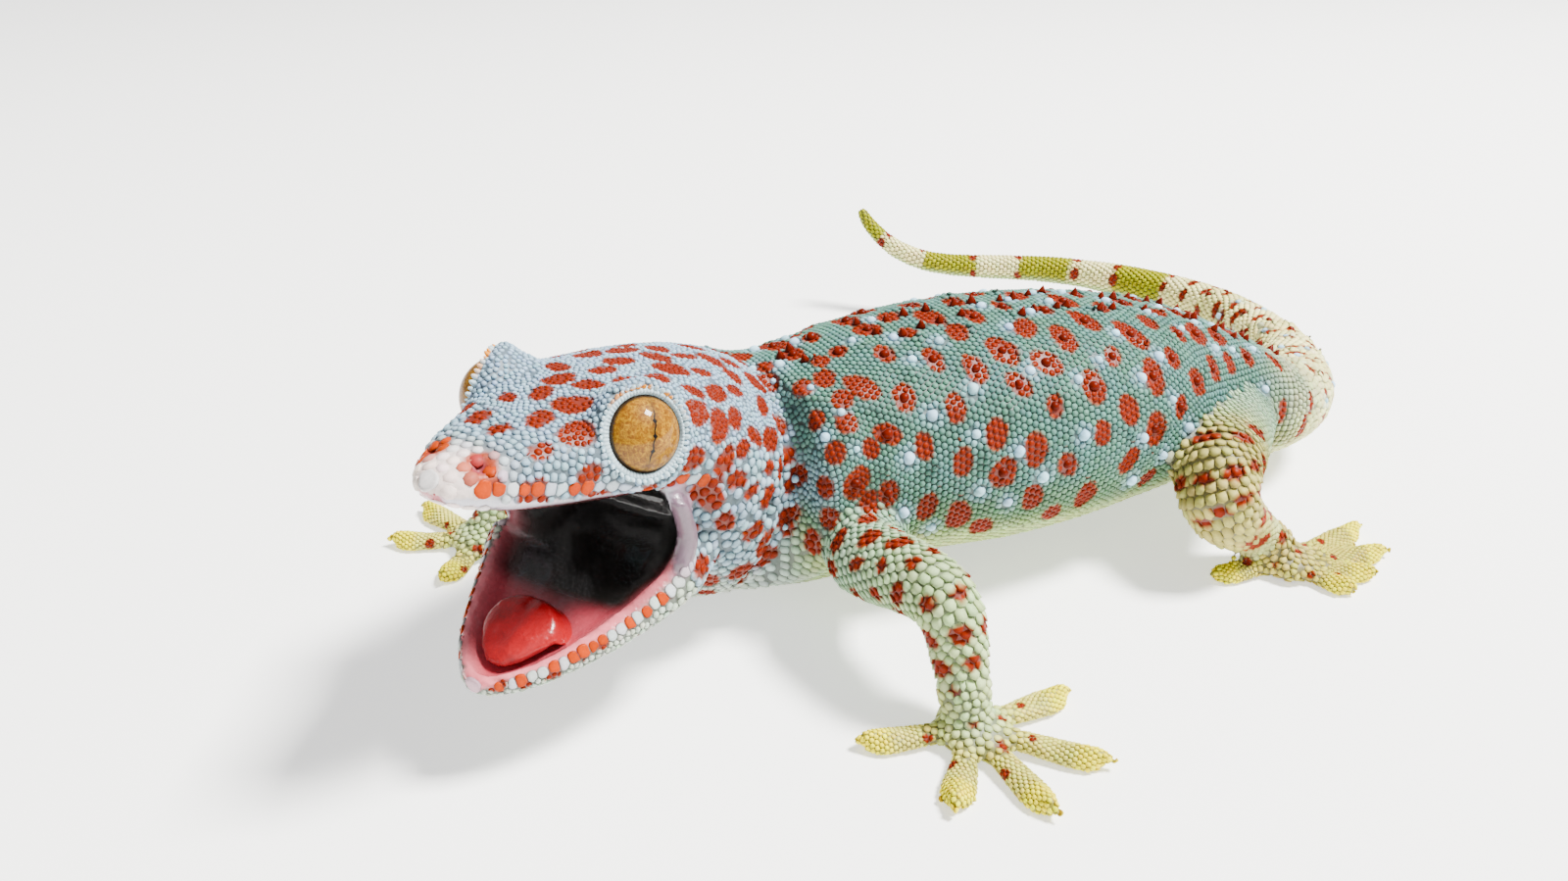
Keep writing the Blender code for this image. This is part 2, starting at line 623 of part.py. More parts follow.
def corner_fold(side):
    """The fold of skin that closes a corner of the mouth, from the upper lip down to the lower."""
    forward, left, _ = head_axes()
    ends = []
    for place, (distance, out, above) in ((in_head, FOLD_TOP), (in_head, FOLD_MIDDLE), (in_jaw, FOLD_BOTTOM)):
        ends.append(place(distance, side * out, above))
    rings = []
    for row in smooth(ends, FOLD_STEPS):
        section = outline(FOLD_RADIUS, FOLD_RADIUS, FOLD_RADIUS, ROUND, FOLD_SIDES)
        rings.append([Vector(row) + left * x + forward * z for x, z in section])
    return new_object(f"corner_fold_{side}", *loft(rings))


def ball(name, centre, radii, axes, segments, rings):
    """A closed ellipsoid about a centre, with its radii along the three axes and its poles on the last."""
    made = []
    for i in range(1, rings):
        polar = math.pi * i / rings
        ring = []
        for k in range(segments):
            angle = 2 * math.pi * k / segments
            way = (math.sin(polar) * math.cos(angle), math.sin(polar) * math.sin(angle), math.cos(polar))
            ring.append(centre + sum((axis * (r * w) for axis, r, w in zip(axes, radii, way)), Vector()))
        made.append(ring)
    points, faces = loft(made)
    points[-2] = centre + axes[2] * radii[2]
    points[-1] = centre - axes[2] * radii[2]
    return new_object(name, points, faces)


def eye_ball(name, side, grow=0.0):
    """An eye's ball, with its poles along the way the eye looks."""
    centre, look = eye_facts(side)
    across = look.orthogonal().normalized()
    axes = (look.cross(across), across, look)
    return ball(name, centre, [EYE_RADIUS + grow] * 3, axes, EYE_SEGMENTS, EYE_RINGS)


def eye_facts(side):
    """Centre of an eye and the way it looks, for side 1 (left) or -1 (right)."""
    forward, left, up = head_axes()
    ahead, lift = math.radians(EYE_AHEAD_DEG), math.radians(EYE_UP_DEG)
    level = left * (side * math.cos(ahead)) + forward * math.sin(ahead)
    return in_head(EYE_BACK, side * EYE_OUT, EYE_UP), level * math.cos(lift) + up * math.sin(lift)


def orbit_ring(side):
    """The raised rim of skin round an eye: a closed ring of small sections."""
    centre, look = eye_facts(side)
    across = look.orthogonal().normalized()
    other = look.cross(across)
    points, faces = [], []
    for i in range(RIM_SPANS):
        angle = 2 * math.pi * i / RIM_SPANS
        way = across * math.cos(angle) + other * math.sin(angle)
        middle = centre + look * RIM_LIFT + way * RIM_RADIUS
        section = outline(RIM_HALF_WIDTH, RIM_RISE, RIM_DROP, ROUND, RIM_SIDES)
        points += [middle + way * x + look * z for x, z in section]
        for k in range(RIM_SIDES):
            n, m = (i + 1) % RIM_SPANS, (k + 1) % RIM_SIDES
            ring, following = i * RIM_SIDES, n * RIM_SIDES
            faces.append((ring + k, ring + m, following + m, following + k))
    return new_object(f"orbit_ring_{side}", points, faces)


def build_head():
    """Head with eye rims, nostrils, ears and mouth corners, hollowed by the mouth and for the eyes."""
    forward, left, up = head_axes()
    head = sections("head", in_head, HEAD_STATIONS, HEAD_SIDES)
    combine(head, [jaw_loft("jaw_stub", 0, jaw_place(JAW_CUT - GAP / 2)), orbit_ring(1), orbit_ring(-1)])
    for cutter in (mouth_floor(), mouth_roof(), throat()):
        combine(head, [cutter], "DIFFERENCE")
    combine(head, [corner_fold(1), corner_fold(-1)])
    for side in (1, -1):
        combine(head, [eye_ball("socket", side, GAP)], "DIFFERENCE")
        for (back, out, above), radii in ((NOSTRIL, NOSTRIL_SIZE), (EAR, EAR_SIZE)):
            centre = in_head(back, side * out, above)
            hollow = ball("hollow", centre, radii, (left, forward, up), HOLLOW_SEGMENTS, HOLLOW_RINGS)
            combine(head, [hollow], "DIFFERENCE")
    finish(head, "head_skin")


def build_jaw():
    jaw = jaw_loft("lower_jaw", jaw_place(JAW_CUT + GAP / 2), len(JAW_STATIONS) - 1)
    combine(jaw, [mouth_floor()], "DIFFERENCE")
    finish(jaw, "head_skin")


def build_tongue():
    """The broad tongue, a gap above the mouth's floor."""
    rows = [(*row, ROUND) for row in TONGUE_STATIONS]
    finish(sections("tongue", in_jaw, rows, TONGUE_SIDES), "tongue")


def build_eyes():
    finish(eye_ball("eye_left", 1), "eye")
    finish(eye_ball("eye_right", -1), "eye")


def body_lengths():
    """Rings of the neck, the trunk and the three lengths of the tail, with a gap between neighbours."""
    rows = body_rows()
    marks = [0, TRUNK_END, TAIL_BASE_END, TAIL_MIDDLE_END, len(TRUNK_STATIONS + TAIL_STATIONS) - 1]
    rings = {"neck": neck_rings()}
    for n, (name, sides) in enumerate(LENGTH_SIDES.items()):
        start = marks[n] + (gap_place(marks[n], rows, BODY_STEPS) if n else 0)
        end = marks[n + 1] - (gap_place(marks[n + 1], rows, BODY_STEPS) if n < len(LENGTH_SIDES) - 1 else 0)
        rings[name] = between(body_rings(sides), BODY_STEPS, start, end)
    return rings


def build_body():
    """Neck, trunk and tail, with their tubercles fused on and the neck cut clear of the front legs."""
    rings = body_lengths()
    lengths = {name: new_object(name, *loft(rings[name])) for name in rings}
    near_legs = [
        (place[:3], place[3] + LEG_CLEARANCE)
        for name in LEG_STATIONS
        for place in leg_rows(name)[LEG_STEPS // 2 : LEG_STEPS * 4 + 1]
    ]
    combine(lengths["torso"], tubercles("torso", rings["torso"], TUBERCLE_ROWS, near_legs))
    combine(lengths["neck"], tubercles("neck", rings["neck"], TUBERCLE_ROWS[1:-1]))
    combine(lengths["tail_base"], tubercles("tail", rings["tail_base"], TUBERCLE_ROWS[2:-2]))
    for name in ("front_leg_left", "front_leg_right"):
        combine(lengths["neck"], [leg_cutter(name, 0, NECK_CUT_END)], "DIFFERENCE")
    for name, made in lengths.items():
        finish(made, "tail_skin" if name.startswith("tail") else "body_skin")


def main():
    for old in list(bpy.data.objects):
        bpy.data.objects.remove(old)
    build_body()
    for name in LEG_STATIONS:
        leg(name)
    for name in FEET:
        foot(name)
    build_head()
    build_jaw()
    build_tongue()
    build_eyes()


main()
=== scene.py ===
"""Tokay gecko, life size: skin, scales, tubercles, lids, eyes, mouth and claws, on a pale floor."""

import math

import bmesh
import bpy
import numpy as np
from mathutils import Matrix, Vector
from mathutils.bvhtree import BVHTree
from mathutils.kdtree import KDTree


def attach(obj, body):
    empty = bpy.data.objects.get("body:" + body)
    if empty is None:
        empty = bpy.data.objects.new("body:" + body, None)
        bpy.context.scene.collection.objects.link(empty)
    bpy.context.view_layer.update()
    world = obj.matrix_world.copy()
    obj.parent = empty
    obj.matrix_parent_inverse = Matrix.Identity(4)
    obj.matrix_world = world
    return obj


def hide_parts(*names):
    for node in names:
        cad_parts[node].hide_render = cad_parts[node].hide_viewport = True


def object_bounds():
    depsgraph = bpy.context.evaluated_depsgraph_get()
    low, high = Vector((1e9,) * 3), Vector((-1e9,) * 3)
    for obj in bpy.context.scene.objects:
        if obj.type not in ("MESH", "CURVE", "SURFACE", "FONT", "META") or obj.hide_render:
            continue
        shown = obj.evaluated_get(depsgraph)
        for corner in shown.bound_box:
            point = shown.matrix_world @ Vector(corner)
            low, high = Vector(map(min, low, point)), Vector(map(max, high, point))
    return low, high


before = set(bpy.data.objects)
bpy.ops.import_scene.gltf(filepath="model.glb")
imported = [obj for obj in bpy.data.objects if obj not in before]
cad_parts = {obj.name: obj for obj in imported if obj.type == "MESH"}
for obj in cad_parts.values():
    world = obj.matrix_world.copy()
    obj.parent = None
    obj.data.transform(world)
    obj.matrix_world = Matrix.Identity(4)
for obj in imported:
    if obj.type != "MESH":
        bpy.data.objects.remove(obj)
CAD_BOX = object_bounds()

bl_info = {
    "name": "Tokay gecko dresser",
    "version": (1, 0, 0),
    "blender": (4, 5, 0),
    "location": "View3D > Sidebar > Gecko",
    "description": "Dresses the gecko's solids with skin, scales, tubercles, eyes and mouth",
    "category": "Object",
}

MM = 0.001
SEED = 11
CAD_TOP_MM, HEADROOM_MM = CAD_BOX[1][2] / MM, 0.05
FLESH = (
    "head", "lower_jaw", "neck", "torso", "tail_base", "tail_middle", "tail_tip",
    "front_leg_left", "front_leg_right", "hind_leg_left", "hind_leg_right",
    "front_foot_left", "front_foot_right", "hind_foot_left", "hind_foot_right",
)
HEAD_NODES = ("head", "lower_jaw")
TRUNK_NODES = ("neck", "torso")
TAIL_NODES = ("tail_base", "tail_middle", "tail_tip")
LEG_NODES = FLESH[7:11]
FOOT_NODES = FLESH[11:]

# The head's frame: snout tip, turn to the left of -Y, pitch, jaw hinge and gape, in millimetres and degrees
SNOUT_TIP = np.array([43.0, -73.65, 36.3])
HEAD_TURN_DEG, HEAD_PITCH_DEG = 38.1, 20.0
HINGE_BACK, HINGE_DROP, GAPE_DEG = 31.5, 4.8, 37.5
HEAD_LENGTH = 45.6
EYE_BACK, EYE_OUT, EYE_UP = 18.9, 8.7, 5.3
EYE_AHEAD_DEG, EYE_UP_DEG = 30.0, 12.0
NOSTRIL = (3.2, 3.0, 1.9)
EAR = (40.6, 14.4, -4.0)
FOLD = ((24.6, 11.4, -1.6), (27.2, 11.8, -5.6), (26.4, 11.6, -8.6))

# Half widths of the upper jaw by distance behind the snout tip, of the lower by distance ahead of its hinge
UPPER_HALF_WIDTH = (
    (-0.1, 0.6, 1.8, 3.7, 6.2, 9.2, 12.6, 16.2, 20.0, 23.6, 27.0, 30.2),
    (1.3, 2.5, 3.6, 4.8, 6.1, 7.4, 8.8, 10.2, 11.4, 12.5, 13.5, 14.2),
)
LOWER_HALF_WIDTH = (
    (-3.0, 1.0, 5.0, 8.5, 12.5, 16.5, 20.0, 23.0, 25.4, 27.0, 27.7),
    (10.5, 12.2, 13.0, 12.6, 11.4, 9.9, 8.1, 6.2, 4.2, 2.3, 1.0),
)
ROOF_HALF_WIDTH = ((2.4, 5.0, 9.0, 14.0, 20.0, 26.0, 30.0, 33.0), (1.6, 4.0, 6.2, 8.0, 9.7, 10.8, 9.8, 6.4))
FLOOR_HALF_WIDTH = (
    (-1.0, 4.0, 8.0, 12.5, 16.5, 20.0, 23.0, 25.2, 26.3),
    (7.8, 10.2, 10.9, 9.9, 8.5, 6.8, 4.9, 2.9, 1.3),
)

# Centre lines that give each length its direction, from head to tail tip and from hip to wrist
BODY_LINE = (
    (20.6, -38.0, 19.0), (18.6, -29.2, 19.4), (17.7, -12.2, 19.1), (17.5, 6.9, 18.6), (16.0, 25.9, 16.6),
    (17.6, 40.4, 14.2), (18.8, 45.9, 12.8), (15.0, 57.1, 11.0), (8.8, 62.7, 10.4), (0.4, 67.7, 10.0),
    (-8.6, 71.1, 9.6), (-17.4, 72.7, 9.4), (-26.0, 72.1, 9.4), (-34.4, 69.1, 9.4), (-42.0, 64.3, 9.6),
    (-48.6, 57.9, 9.8), (-53.4, 49.9, 10.0), (-56.6, 41.5, 10.4), (-59.8, 33.9, 11.2), (-64.0, 28.3, 13.4),
    (-68.0, 24.7, 17.2), (-69.4, 23.1, 20.4),
)
RUMP_RUN, VENT_RUN, TAIL_TIP_RUN = 80.0, 92.0, 214.0
LEG_LINES = {
    "front_leg_left": ((28.7, -22.8, 13.0), (36.2, -25.6, 12.8), (43.2, -24.2, 14.2), (49.2, -22.6, 14.2),
                       (51.4, -22.0, 10.2), (53.6, -22.2, 6.2), (55.2, -22.4, 2.6)),
    "front_leg_right": ((6.8, -30.2, 13.0), (0.6, -36.8, 13.0), (-5.2, -43.4, 14.2), (-8.6, -49.2, 13.8),
                        (-8.2, -55.0, 9.8), (-6.2, -60.4, 5.8), (-4.6, -63.8, 2.6)),
    "hind_leg_left": ((22.2, 38.8, 14.4), (30.2, 31.2, 14.2), (37.8, 23.4, 13.6), (39.8, 23.8, 10.2),
                      (39.4, 27.8, 7.0), (39.8, 31.2, 4.4), (41.2, 33.4, 2.6)),
    "hind_leg_right": ((7.2, 38.8, 14.6), (-2.8, 32.4, 14.8), (-11.4, 26.4, 14.4), (-15.2, 29.8, 11.2),
                       (-16.6, 36.4, 7.6), (-18.0, 43.0, 4.4), (-19.0, 45.8, 2.6)),
}
# Feet: middle of the palm, and each digit's bearing from +X and length
FEET = {
    "front_foot_left": ((55.8, -21.95), ((256, 11.8), (322, 11.4), (7, 13.2), (49, 14.0), (98, 12.8))),
    "front_foot_right": ((-3.8, -64.55), ((318, 9.4), (246, 12.0), (206, 13.4), (164, 13.6), (116, 12.0))),
    "hind_foot_left": ((41.8, 33.85), ((264, 10.4), (24, 8.8), (54, 10.6), (79, 14.0), (102, 15.4))),
    "hind_foot_right": ((-19.6, 46.85), ((276, 10.2), (206, 10.8), (172, 13.0), (142, 14.6), (110, 14.4))),
}

# The skin: how far the solids grow to meet, and how deep the skin then lies under them, in millimetres
CLOSE_GAPS_MM, SKIN_DEPTH_MM, FOOT_DEPTH_MM, HEAD_DEPTH_MM, SOLE_HEIGHT_MM = 0.25, 0.5, 0.25, 0.25, 0.12
SMOOTH_ROUNDS = {
    "head": 9, "lower_jaw": 7, "neck": 40, "torso": 40, "tail_base": 26, "tail_middle": 18, "tail_tip": 10,
    "front_leg_left": 16, "front_leg_right": 16, "hind_leg_left": 18, "hind_leg_right": 18,
    "front_foot_left": 2, "front_foot_right": 2, "hind_foot_left": 2, "hind_foot_right": 2,
}
# The hollow between neck and shoulders: rounds of filling, and where it begins and ends
SHOULDER_ROUNDS, SHOULDER_BACK, SHOULDER_RUN = 90, (47.0, 49.5), (18.0, 12.0)
# The tail's first full olive band and the bands' distance, and the runs of its rings of spots
TAIL_BANDS = (153.5, 19.3)
TAIL_SPOT_RUNS = (148.0, 159.0, 167.0, 178.5, 187.5, 198.0, 206.0)
# Creases behind the head: distance behind the snout tip, width and depth
NECK_CREASES = ((43.0, 0.9, 0.7), (46.5, 1.2, 0.5), (50.5, 1.6, 0.25))
JAW_SPREAD_MM = 1.3
# Painted shade: the skin shows only in the grooves between the scales, and its colour is darkened by this
# share
GROOVE_SHADE = 0.27

# The photograph's camera
CAMERA_PLACE = (0.1452, -0.08015, 0.090)
CAMERA_TILT_DEG, CAMERA_TURN_DEG = 63.0, 68.0
CAMERA_LENS_MM, CAMERA_SENSOR_MM, CAMERA_CLIP = 28.125, 36.0, (0.005, 20.0)

# Studio lamps: place, side in metres, watts and tint; then the surroundings' and the floor's own strength
LAMPS = {
    "key": ((0.22, 0.50, 0.95), 0.26, 58.0, (1.0, 0.985, 0.96)),
    "fill": ((0.75, -0.55, 0.6), 0.8, 2.0, (0.97, 0.985, 1.0)),
}
LAMP_TARGET, WORLD_STRENGTH, FLOOR_GLOW, FLOOR_HALF, WHITE = (0.0, 0.0, 0.02), 0.34, 0.95, 3.0, (1.0,) * 4

# The flesh round an eyeball: radius, how far back its middle lies and where it is cut flat
ORBIT_MM, ORBIT_SIDES = (5.35, 0.7, 2.0), 32
# Lids: opening round the eyeball, width behind and before it, ribs, steps, and the fringe's scales
EYE_RADIUS_MM, EYE_OPENING_MM, LID_WIDE_MM = 4.5, 3.9, (0.5, 0.95)
LID_RIBS, LID_RIB_MM, LID_STEPS = 72, 0.05, 432
LID_TABS, LID_TAB_RADIUS_MM, LID_TAB_RISE_MM, LID_SHIFT_MM, LID_LEAN_DEG = 46, 4.5, 2.25, 0.2, 62.0
# The iris's rim of painted shadow under the lid's edge, and the slit's ends and pinholes, in shares of the
# eyeball's radius
IRIS_RIM_SHADOW, SLIT_ENDS, PINHOLE_TURNS = (0.77, 0.835), (0.50, 0.60), 19.0
TONGUE_ROUNDS, TONGUE_SUNK_MM = 16, 3.5
# The tongue's round end: its middle ahead of the hinge, its length and width from there, and where it dips
TONGUE_END, TONGUE_DIP = (20.5, 5.2, 5.6), (0.75, 1.15)
# Behind TONGUE_RED_AHEAD the tongue carries painted shadow in the dark mouth colour
TONGUE_FACE_MM, TONGUE_DIMPLE, TONGUE_RED_AHEAD = 0.3, (22.0, -1.2), (12.5, 16.5)
CLAW_LENGTH_MM, CLAW_WIDE_MM, CLAW_SET_BACK_MM, CLAW_SHARES = 1.3, 0.22, 0.95, (0.0, 0.25, 0.5, 0.75, 0.95)
# Points round each claw and each scale of the lids' fringes
RING_SIDES = 8

# How far back along the body line the neck's own spots reach
NECK_SPOTS_RUN = 14.0
# The row of tubercles across the nape: how many, how far round, and how far behind the snout
NAPE_TUBERCLES, NAPE_TURN, NAPE_BACK = 19, 1.9, 46.0
# Scales: room kept free round each nostril and each eye's middle
NOSTRIL_BARE_MM, EYE_BARE_MM = 0.75, 4.95
# Tries at filling the skin, closest distance as a share of the wanted one, and rounds of spreading out
SCALE_BATCHES, SCALE_CLOSEST, SPREAD_ROUNDS, SCALE_FILL = 6, 0.80, 3, 0.96
# CROWN_SHADE lightens each scale's crown point: a painted highlight
SCALES_PER_PIECE, BAKE_PATCH, CROWN_SHADE = 6400, 0.003, 1.10
# Rows: from which run to which, row distance as a share of the scale's and rays cast down each side of a row
TRUNK_ROWS, TAIL_ROWS, LEG_ROWS = (3.0, 95.0), (95.0, 213.5), (3.0, 46.0)
ROW_STEP, LEG_STEP, TOE_STEP, ROW_RAYS, ROW_GAP_MM = 0.87, 0.64, 0.80, 130, 0.5
# How far from its line the skin of the body or a leg, and of a toe, is looked for
BODY_REACH_MM, TOE_REACH_MM = 22.0, 2.6
# Where the scales' distance changes along the neck, tail and legs, and by what share
TRUNK_FINE_RUNS, TRUNK_FINE, TAIL_FINE_RUNS, TAIL_FINE = (4.0, 26.0), 0.82, (120.0, 214.0), 0.8
FRONT_RUNS, HIND_RUNS, TOE_HEIGHTS_MM = (6.0, 24.0), (10.0, 18.0, 28.0, 34.0), (1.7, 1.0)
TOE_FINE_REACH_MM, ROW_MATCH = (3.0, 7.0), 0.14
HIND_FOOT_TONE = (0.80, 0.76, 0.62)
SCALE_SIDES, SCALE_WIDEST, TILE_FILL, RAISED_FILL = 8, 0.62, 0.97, 0.95
# How far scales keep inside the solids' box, and how far their roots lie under the skin
SCALES_IN_MM, ROOT_SUNK_MM = 0.01, 0.02
# Where the belly's scales take over: the upward part of the direction from the body's line
UNDERSIDE = (-0.30, -0.62)
# How far off a spot's slope is read
SLOPE_STEP_MM = 0.2
# How far the painted shade inside a spot is evened out, the painted shade that its scales then share, and how
# far single scales stray in hue
EVEN_SPOTS, EVEN_SHADE, HUE_SPREAD = 0.90, 0.90, 0.035
# Rings of a scale from the root up: share of its width, height (or depth in millimetres) and painted shade,
# darkest at the sunk root; on the feet a colour that is painted shade with the brown tone of their grooves
SCALE_RINGS = ((1.0, -0.12, 0.34), (0.86, 0.62, 0.90))
TILE_RINGS = ((1.0, -0.12, 0.24), (0.90, 0.84, 0.90))
FOOT_RINGS = ((1.0, -0.12, (0.36, 0.25, 0.13)), (0.88, 0.84, (0.90, 0.88, 0.84)))
BUMP_RINGS = ((1.0, -0.15, 0.35), (0.90, 0.35, 0.75), (0.58, 0.82, 1.0))
PLATE_RINGS = ((1.0, -0.15, 0.45), (0.92, 0.7, 0.85), (0.72, 0.95, 0.96))
CONE_RINGS = ((1.0, -0.15, 0.35), (0.72, 0.30, 0.75), (0.34, 0.70, 1.0))
SCALE_GROUPS = (
    ("scales_head", ("head",), "skin", SCALE_RINGS),
    ("scales_jaw", ("lower_jaw",), "skin", SCALE_RINGS),
    ("scales_trunk", TRUNK_NODES, "skin", SCALE_RINGS),
    ("scales_tail", TAIL_NODES, "tail_skin", TILE_RINGS),
    ("scales_front_legs", LEG_NODES[:2], "skin", TILE_RINGS),
    ("scales_hind_legs", LEG_NODES[2:], "skin", TILE_RINGS),
    ("scales_feet", FOOT_NODES, "foot_skin", FOOT_RINGS),
)
# The lips' patches and plates (first, last and distance), behind the snout tip and ahead of the jaw's hinge
UPPER_LIP_SPOTS = (3.0, 7.2, 11.9, 18.6, 28.6)
LOWER_LIP_SPOTS = (3.2, 9.6, 12.2, 14.9, 17.6, 20.2, 22.8, 25.2)
UPPER_PLATES, LOWER_PLATES, LIP_OUT_MM = (2.0, 27.0, 1.35), (4.0, 27.0, 1.15), 0.4
# Spots and tubercles in rows: distances along and across in millimetres, and how far round in degrees
TRUNK_SPOTS, TRUNK_TUBERCLES, LEG_SPOTS = ((4.7, 6.0), 112), ((4.7, 6.0), 106), ((3.4, 3.9), 150)
TAIL_SPOTS, TAIL_RINGS, TAIL_TUBERCLES = ((4.3, 3.7), 125), ((1.0, 3.9), 130), ((5.6, 3.6), 92)
# Half sizes of those spots, along and across the body or leg
TRUNK_SIZE, TAIL_SIZE, RING_SIZE = (1.58, 2.15), (0.8, 1.6), (0.85, 1.25)
FRONT_LEG_SIZE, HIND_LEG_SIZE = (1.0, 1.3), (0.88, 1.5)
# Scattered spots: distance and half sizes
FOOT_SPOTS, HEAD_SPOTS, CHEEK_SPOTS, JAW_SPOTS = (
    (3.3, (0.55, 0.7)), (3.3, (1.28, 1.9)), (4.0, (1.45, 1.9)), (4.4, (0.55, 0.95)),
)
NECK_SPOT_GAP_MM, CONE_STEP_MM, CONE_TURN = 3.9, 3.1, 0.16


def unit(rows):
    """Rows of vectors at length one."""
    return rows / np.maximum(np.linalg.norm(rows, axis=-1, keepdims=True), 1e-9)


def head_axes():
    """The head's forward, left and up."""
    turn, pitch = math.radians(HEAD_TURN_DEG), math.radians(HEAD_PITCH_DEG)
    level = math.cos(pitch)
    forward = np.array([math.sin(turn) * level, -math.cos(turn) * level, math.sin(pitch)])
    left = np.array([math.cos(turn), math.sin(turn), 0.0])
    return forward, left, np.cross(forward, left)


def jaw_axes():
    """The open lower jaw's hinge, forward, left and up."""
    forward, left, up = head_axes()
    gape = math.radians(GAPE_DEG)
    ahead = forward * math.cos(gape) - up * math.sin(gape)
    above = up * math.cos(gape) + forward * math.sin(gape)
    return SNOUT_TIP - forward * HINGE_BACK - up * HINGE_DROP, ahead, left, above


def in_head(back, out, above):
    forward, left, up = head_axes()
    return SNOUT_TIP - forward * back + left * out + up * above


def in_jaw(ahead, out, above):
    hinge, forward, left, up = jaw_axes()
    return hinge + forward * ahead + left * out + up * above


def head_places(points):
    """Each point's distance behind the snout tip, to the left and above the lip line."""
    forward, left, up = head_axes()
    away = points - SNOUT_TIP
    return -(away @ forward), away @ left, away @ up


def mirrored(points):
    """Each point's place behind, beside and above the snout tip, with both sides laid on the left."""
    back, out, above = head_places(points)
    return np.stack([back, np.abs(out), above], axis=1)


def jaw_places(points):
    """Each point's distance ahead of the jaw's hinge, to the left and above the lower lip."""
    hinge, forward, left, up = jaw_axes()
    away = points - hinge
    return away @ forward, away @ left, away @ up


def eye_axes(side):
    """An eye's centre and the way it looks, across and up, for side 1 (left) or -1 (right)."""
    forward, left, up = head_axes()
    ahead, lift = math.radians(EYE_AHEAD_DEG), math.radians(EYE_UP_DEG)
    level = left * (side * math.cos(ahead)) + forward * math.sin(ahead)
    look = level * math.cos(lift) + up * math.sin(lift)
    across = unit(np.cross(up, look))
    return in_head(EYE_BACK, side * EYE_OUT, EYE_UP), look, across, np.cross(look, across)


def along_line(points, line):
    """Each point's run along a line, the nearest place on it and the line's direction there."""
    line = np.array(line, float)
    best = np.full(len(points), np.inf)
    run, near, way = np.zeros(len(points)), np.zeros_like(points), np.zeros_like(points)
    start = 0.0
    for a, b in zip(line, line[1:]):
        length = np.linalg.norm(b - a)
        share = np.clip((points - a) @ (b - a) / length**2, 0, 1)
        place = a + share[:, None] * (b - a)
        gap = np.linalg.norm(points - place, axis=1)
        closer = gap < best
        best[closer] = gap[closer]
        run[closer] = start + share[closer] * length
        near[closer] = place[closer]
        way[closer] = (b - a) / length
        start += length
    return run, near, way


def ramp(value, low, high):
    """0 below low, 1 above high and smooth between them, or the other way round where low is over high."""
    share = np.clip((value - low) / (high - low), 0, 1)
    return share * share * (3 - 2 * share)


def mix(first, second, share):
    """A blend point by point: the first where the share is 0, the second where it is 1."""
    return first * (1 - share)[:, None] + second * share[:, None]


def rough(points, size, seed):
    """Smooth noise from -0.5 to 0.5 at points."""
    return value_noise(points, size, seed) - 0.5


def bell(value, middle, width):
    return np.exp(-(((value - middle) / width) ** 2))


def linear(red, green, blue):
    """A colour given as it looks on a screen, as Blender's linear one."""
    seen = np.array([red, green, blue], float)
    return np.where(seen <= 0.04045, seen / 12.92, ((seen + 0.055) / 1.055) ** 2.4)


def value_noise(points, size, seed):
    """Smooth noise from 0 to 1 at points, with lumps of the given size."""
    grid = points / size
    cell = np.floor(grid).astype(np.int64)
    share = grid - cell
    share = share * share * (3 - 2 * share)
    total = np.zeros(len(points))
    for corner in range(8):
        step = np.array([corner & 1, corner >> 1 & 1, corner >> 2 & 1])
        key = (cell + step) @ np.array([73856093, 19349663, 83492791]) + seed * 2654435761
        key = (key ^ (key >> 13)) * 1274126177
        rank = ((key ^ (key >> 16)) & 0xFFFFFF) / float(0xFFFFFF)
        weight = np.prod(np.where(step, share, 1 - share), axis=1)
        total += rank * weight
    return total


class Skin:
    """The one skin's surface, in millimetres, as the operators that grow things on it need it."""

    points = normals = faces = region = tree = None


def mesh_arrays(mesh):
    """A mesh's points and normals in millimetres."""
    points = np.empty(len(mesh.vertices) * 3, np.float32)
    normals = np.empty_like(points)
    mesh.vertices.foreach_get("co", points)
    mesh.vertex_normals.foreach_get("vector", normals)
    return points.reshape(-1, 3).astype(float) / MM, normals.reshape(-1, 3).astype(float)


def triangles(mesh):
    mesh.calc_loop_triangles()
    faces = np.empty(len(mesh.loop_triangles) * 3, np.int32)
    mesh.loop_triangles.foreach_get("vertices", faces)
    return faces.reshape(-1, 3)


def move_points(mesh, points):
    """Puts a mesh's points where they are given, in millimetres."""
    mesh.vertices.foreach_set("co", (points * MM).astype(np.float32).ravel())
    mesh.update()


def reworked(mesh, weld=False):
    """Joins a mesh's points that lie in one place, or else turns its faces to look outwards."""
    work = bmesh.new()
    work.from_mesh(mesh)
    if weld:
        bmesh.ops.remove_doubles(work, verts=work.verts, dist=1e-6)
    else:
        bmesh.ops.recalc_face_normals(work, faces=work.faces)
    work.to_mesh(mesh)
    work.free()
    return mesh


def placed(name, data):
    """A new object in the scene."""
    made = bpy.data.objects.new(name, data)
    bpy.context.scene.collection.objects.link(made)
    return made


def evaluated(source):
    """The mesh that an object's modifiers make; the object goes."""
    bpy.context.view_layer.update()
    made = bpy.data.meshes.new_from_object(source.evaluated_get(bpy.context.evaluated_depsgraph_get()))
    bpy.data.objects.remove(source)
    return made


def remeshed(name, mesh, size):
    """A mesh laid out anew in even small faces of the given size."""
    source = placed(name, mesh)
    remesh = source.modifiers.new("remesh", "REMESH")
    remesh.mode = "VOXEL"
    remesh.voxel_size = size
    return evaluated(source)


